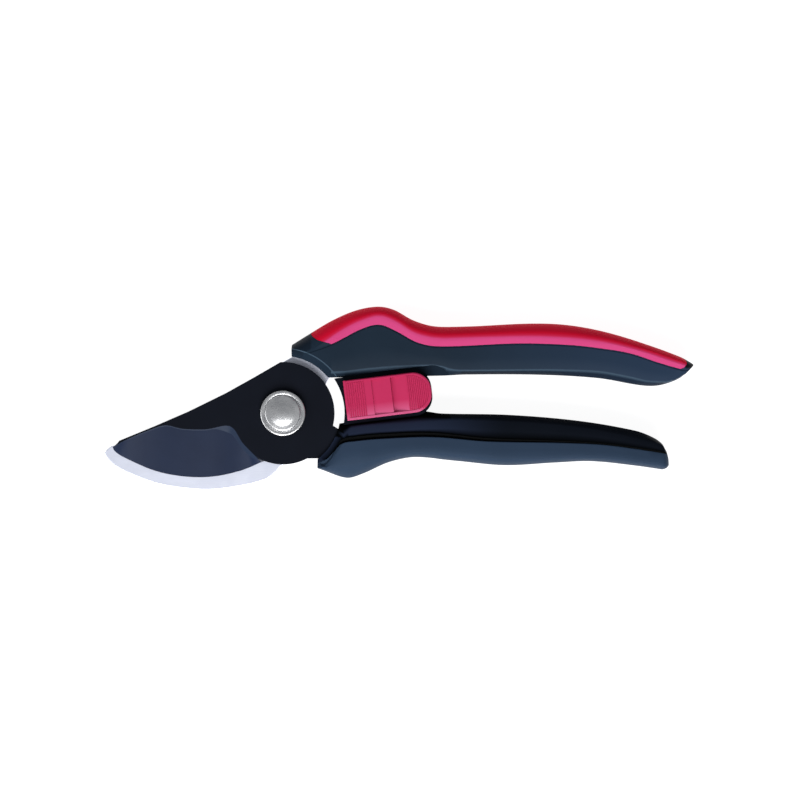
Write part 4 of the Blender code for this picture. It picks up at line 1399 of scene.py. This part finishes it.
@dataclass
class TangScrews:
    """The two socket screws that hold a tang in its handle, put in from behind."""

    finishes: Finishes
    side: Side

    def tree(self) -> bpy.types.NodeTree:
        """The node tree that sets a row of socket screws."""
        tree, sizes = start_shape("tang_screws", {
            "Int": ("Count",), "Vector": ("Start", "Spacing"),
            "Float": ("Head Radius", "Head Height", "Shank Radius", "Shank Length"),
            "Material": ("Material",),
        })

        def lift(shape: bpy.types.Node, length: object, share: float) -> bpy.types.Node:
            """Moves a shape along Z by a share of a length."""
            rise = add_node(tree, "ShaderNodeMath", {"operation": "MULTIPLY", 0: length, 1: share})
            up = add_node(tree, "ShaderNodeCombineXYZ", {"Z": rise})
            return add_node(tree, "GeometryNodeTransform", {"Geometry": shape, "Translation": up})

        head, socket, shank = (
            add_node(tree, "GeometryNodeMeshCylinder", {
                "Vertices": sides, "Radius": sizes[f"{part} Radius"], "Depth": sizes[depth],
            })
            for sides, part, depth in (
                (40, "Head", "Head Height"), (6, "Shank", "Head Height"), (24, "Shank", "Shank Length"),
            )
        )
        lowered = lift(socket, sizes["Head Height"], -0.5)
        cut = add_node(tree, "GeometryNodeMeshBoolean", {"operation": "DIFFERENCE", 0: head, 1: lowered})
        total = add_node(tree, "ShaderNodeMath", {
            "operation": "ADD", 0: sizes["Head Height"], 1: sizes["Shank Length"],
        })
        raised = lift(shank, total, 0.499)  # just under a half, so that shank and head overlap
        screw = add_node(tree, "GeometryNodeJoinGeometry", {0: cut})
        tree.links.new(raised.outputs[0], screw.inputs[0])
        row = add_node(tree, "GeometryNodeMeshLine", {
            "mode": "OFFSET", "Count": sizes["Count"], "Start Location": sizes["Start"],
            "Offset": sizes["Spacing"],
        })
        placed = add_node(tree, "GeometryNodeInstanceOnPoints", {"Points": row, "Instance": screw})
        end_shape(tree, placed, sizes["Material"])
        return tree

    def build(self) -> bpy.types.Object:
        """Makes the pair of screws and puts it in the frame."""
        first, second = LAYOUT.screw_places(self.side)
        bottom, neck, top = LAYOUT.screw_levels
        name = self.side.name.lower()
        pair = grow_from_tree(f"{name}_tang_screws", self.tree(), {
            "Count": 2, "Start": (first[0] * MM, first[1] * MM, (bottom + neck) / 2 * MM),
            "Spacing": ((second[0] - first[0]) * MM, 0, 0), "Head Radius": LAYOUT.screw_head * MM,
            "Head Height": (neck - bottom) * MM, "Shank Radius": LAYOUT.screw_radius * MM,
            "Shank Length": (top - neck) * MM, "Material": self.finishes.zinc,
        })
        body = "counter_lever" if self.side is Side.UPPER else "cutting_lever"
        settle(pair, body, [f"{name}_front_screw", f"{name}_rear_screw"])
        return pair


# ---- CAD pieces that keep their shape ----


@dataclass
class KeptPieces:
    """CAD nodes whose shape is already right, dressed in real finishes."""

    finishes: Finishes

    def build(self) -> None:
        """Puts the finishes on."""
        dressed = {
            "head_washer": self.finishes.zinc, "spring_washer": self.finishes.wire,
            "pivot_nut": self.finishes.zinc,
            "pivot_bushing": self.finishes.bronze, "upper_spring_seat": self.finishes.black,
            "lower_spring_seat": self.finishes.black, "lock_base": self.finishes.black,
            "lock_latch": self.finishes.zinc, "lock_catch": self.finishes.zinc,
            "lock_screw": self.finishes.zinc,
            "detent_spring": self.finishes.wire,
        }
        for name, material in dressed.items():
            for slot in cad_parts[name].material_slots:
                slot.material = material
            log.info("%s keeps its CAD shape in %s", name, material.name)


# ---- Studio ----


@dataclass
class Studio:
    """A pale floor, soft lights and a camera that looks straight down."""

    target: Point3 = (0.0406, 0.0046, 0.012)
    span: float = 0.2779  # width of the view at the target
    lens: float = 120.0
    sensor: float = 36.0
    glow: float = 0.92  # of the backdrop, which is lit from behind as on a light table
    sky: float = 0.3  # strength of the light from all round

    def camera(self) -> None:
        """Adds the camera."""
        data = bpy.data.cameras.new("camera")
        data.lens = self.lens
        data.sensor_width = self.sensor
        camera = bpy.data.objects.new("camera", data)
        x, y, z = self.target
        camera.location = (x, y, z + self.span * self.lens / self.sensor)
        bpy.context.scene.collection.objects.link(camera)
        bpy.context.scene.camera = camera

    def light(self, name: str, place: Point3, size: float, power: float) -> None:
        """Adds a square soft light that points at the target."""
        data = bpy.data.lights.new(name, "AREA")
        data.size = size
        data.energy = power
        lamp = bpy.data.objects.new(name, data)
        lamp.location = place
        towards = [a - b for a, b in zip(self.target, place)]
        flat = math.hypot(towards[0], towards[1])
        lamp.rotation_euler = (math.atan2(flat, -towards[2]), 0, math.atan2(-towards[0], towards[1]))
        bpy.context.scene.collection.objects.link(lamp)

    def floor(self) -> None:
        """Adds the floor."""
        material, tree, shader, place = start_material("matt_white_paper_backdrop")
        fibre = add_node(tree, "ShaderNodeTexNoise", {"Scale": 40.0, "Detail": 3.0, "Vector": place})
        mix = {"data_type": "RGBA", 6: linear("9c9c9d"), 7: linear("989899"), 0: fibre}
        tree.links.new(add_node(tree, "ShaderNodeMix", mix).outputs[2], shader.inputs["Base Color"])
        shader.inputs["Emission Color"].default_value = linear("ffffff")
        shader.inputs["Emission Strength"].default_value = self.glow
        shader.inputs["Roughness"].default_value = 0.9
        shader.inputs["Specular IOR Level"].default_value = 0.0
        far, level = 1500, -0.05
        corners = [(-far, -far, level), (far, -far, level), (far, far, level), (-far, far, level)]
        sheet = make_piece("backdrop", corners, [(0, 1, 2, 3)], (material,))

    def build(self) -> None:
        """Sets the studio up."""
        scene = bpy.context.scene
        scene.view_settings.view_transform = "Standard"
        world = bpy.data.worlds.new("studio")
        world.use_nodes = True
        world.node_tree.nodes["Background"].inputs["Color"].default_value = linear("f4f6fa")
        world.node_tree.nodes["Background"].inputs["Strength"].default_value = self.sky
        scene.world = world
        self.camera()
        self.floor()
        self.light("key", place=(0.02, -0.6, 0.75), size=0.6, power=9.0)
        self.light("side", place=(-0.7, -0.2, 0.5), size=0.5, power=2.0)


def main() -> None:
    """Builds the shears' sub-assemblies and the studio, in order."""
    logging.basicConfig(level=logging.INFO, format="%(name)s %(message)s")
    finishes = Finishes()
    cutting = CuttingBlade(finishes)
    counter = CounterBlade(finishes)
    cutting.build()
    counter.build()
    PivotBolt(finishes).build()
    upper_handle().build(
        ("upper_handle_core", "upper_grip"), (finishes.slate, finishes.crimson_grip),
        ("slate_nylon", "crimson_grip"),
        "counter_lever", counter.outline(), LAYOUT.counter,
    )
    edge, _, back = cutting.outlines()
    lower_handle().build(
        ("lower_handle_core", "lower_grip"), (finishes.black, finishes.slate_grip),
        ("black_nylon", "slate_grip"),
        "cutting_lever", edge + back, LAYOUT.cutting,
    )
    SlideLock(finishes).build()
    ReturnSpring(finishes).build()
    for side in Side:
        TangScrews(finishes, side).build()
    KeptPieces(finishes).build()
    Studio().build()


if __name__ == "__main__":
    main()
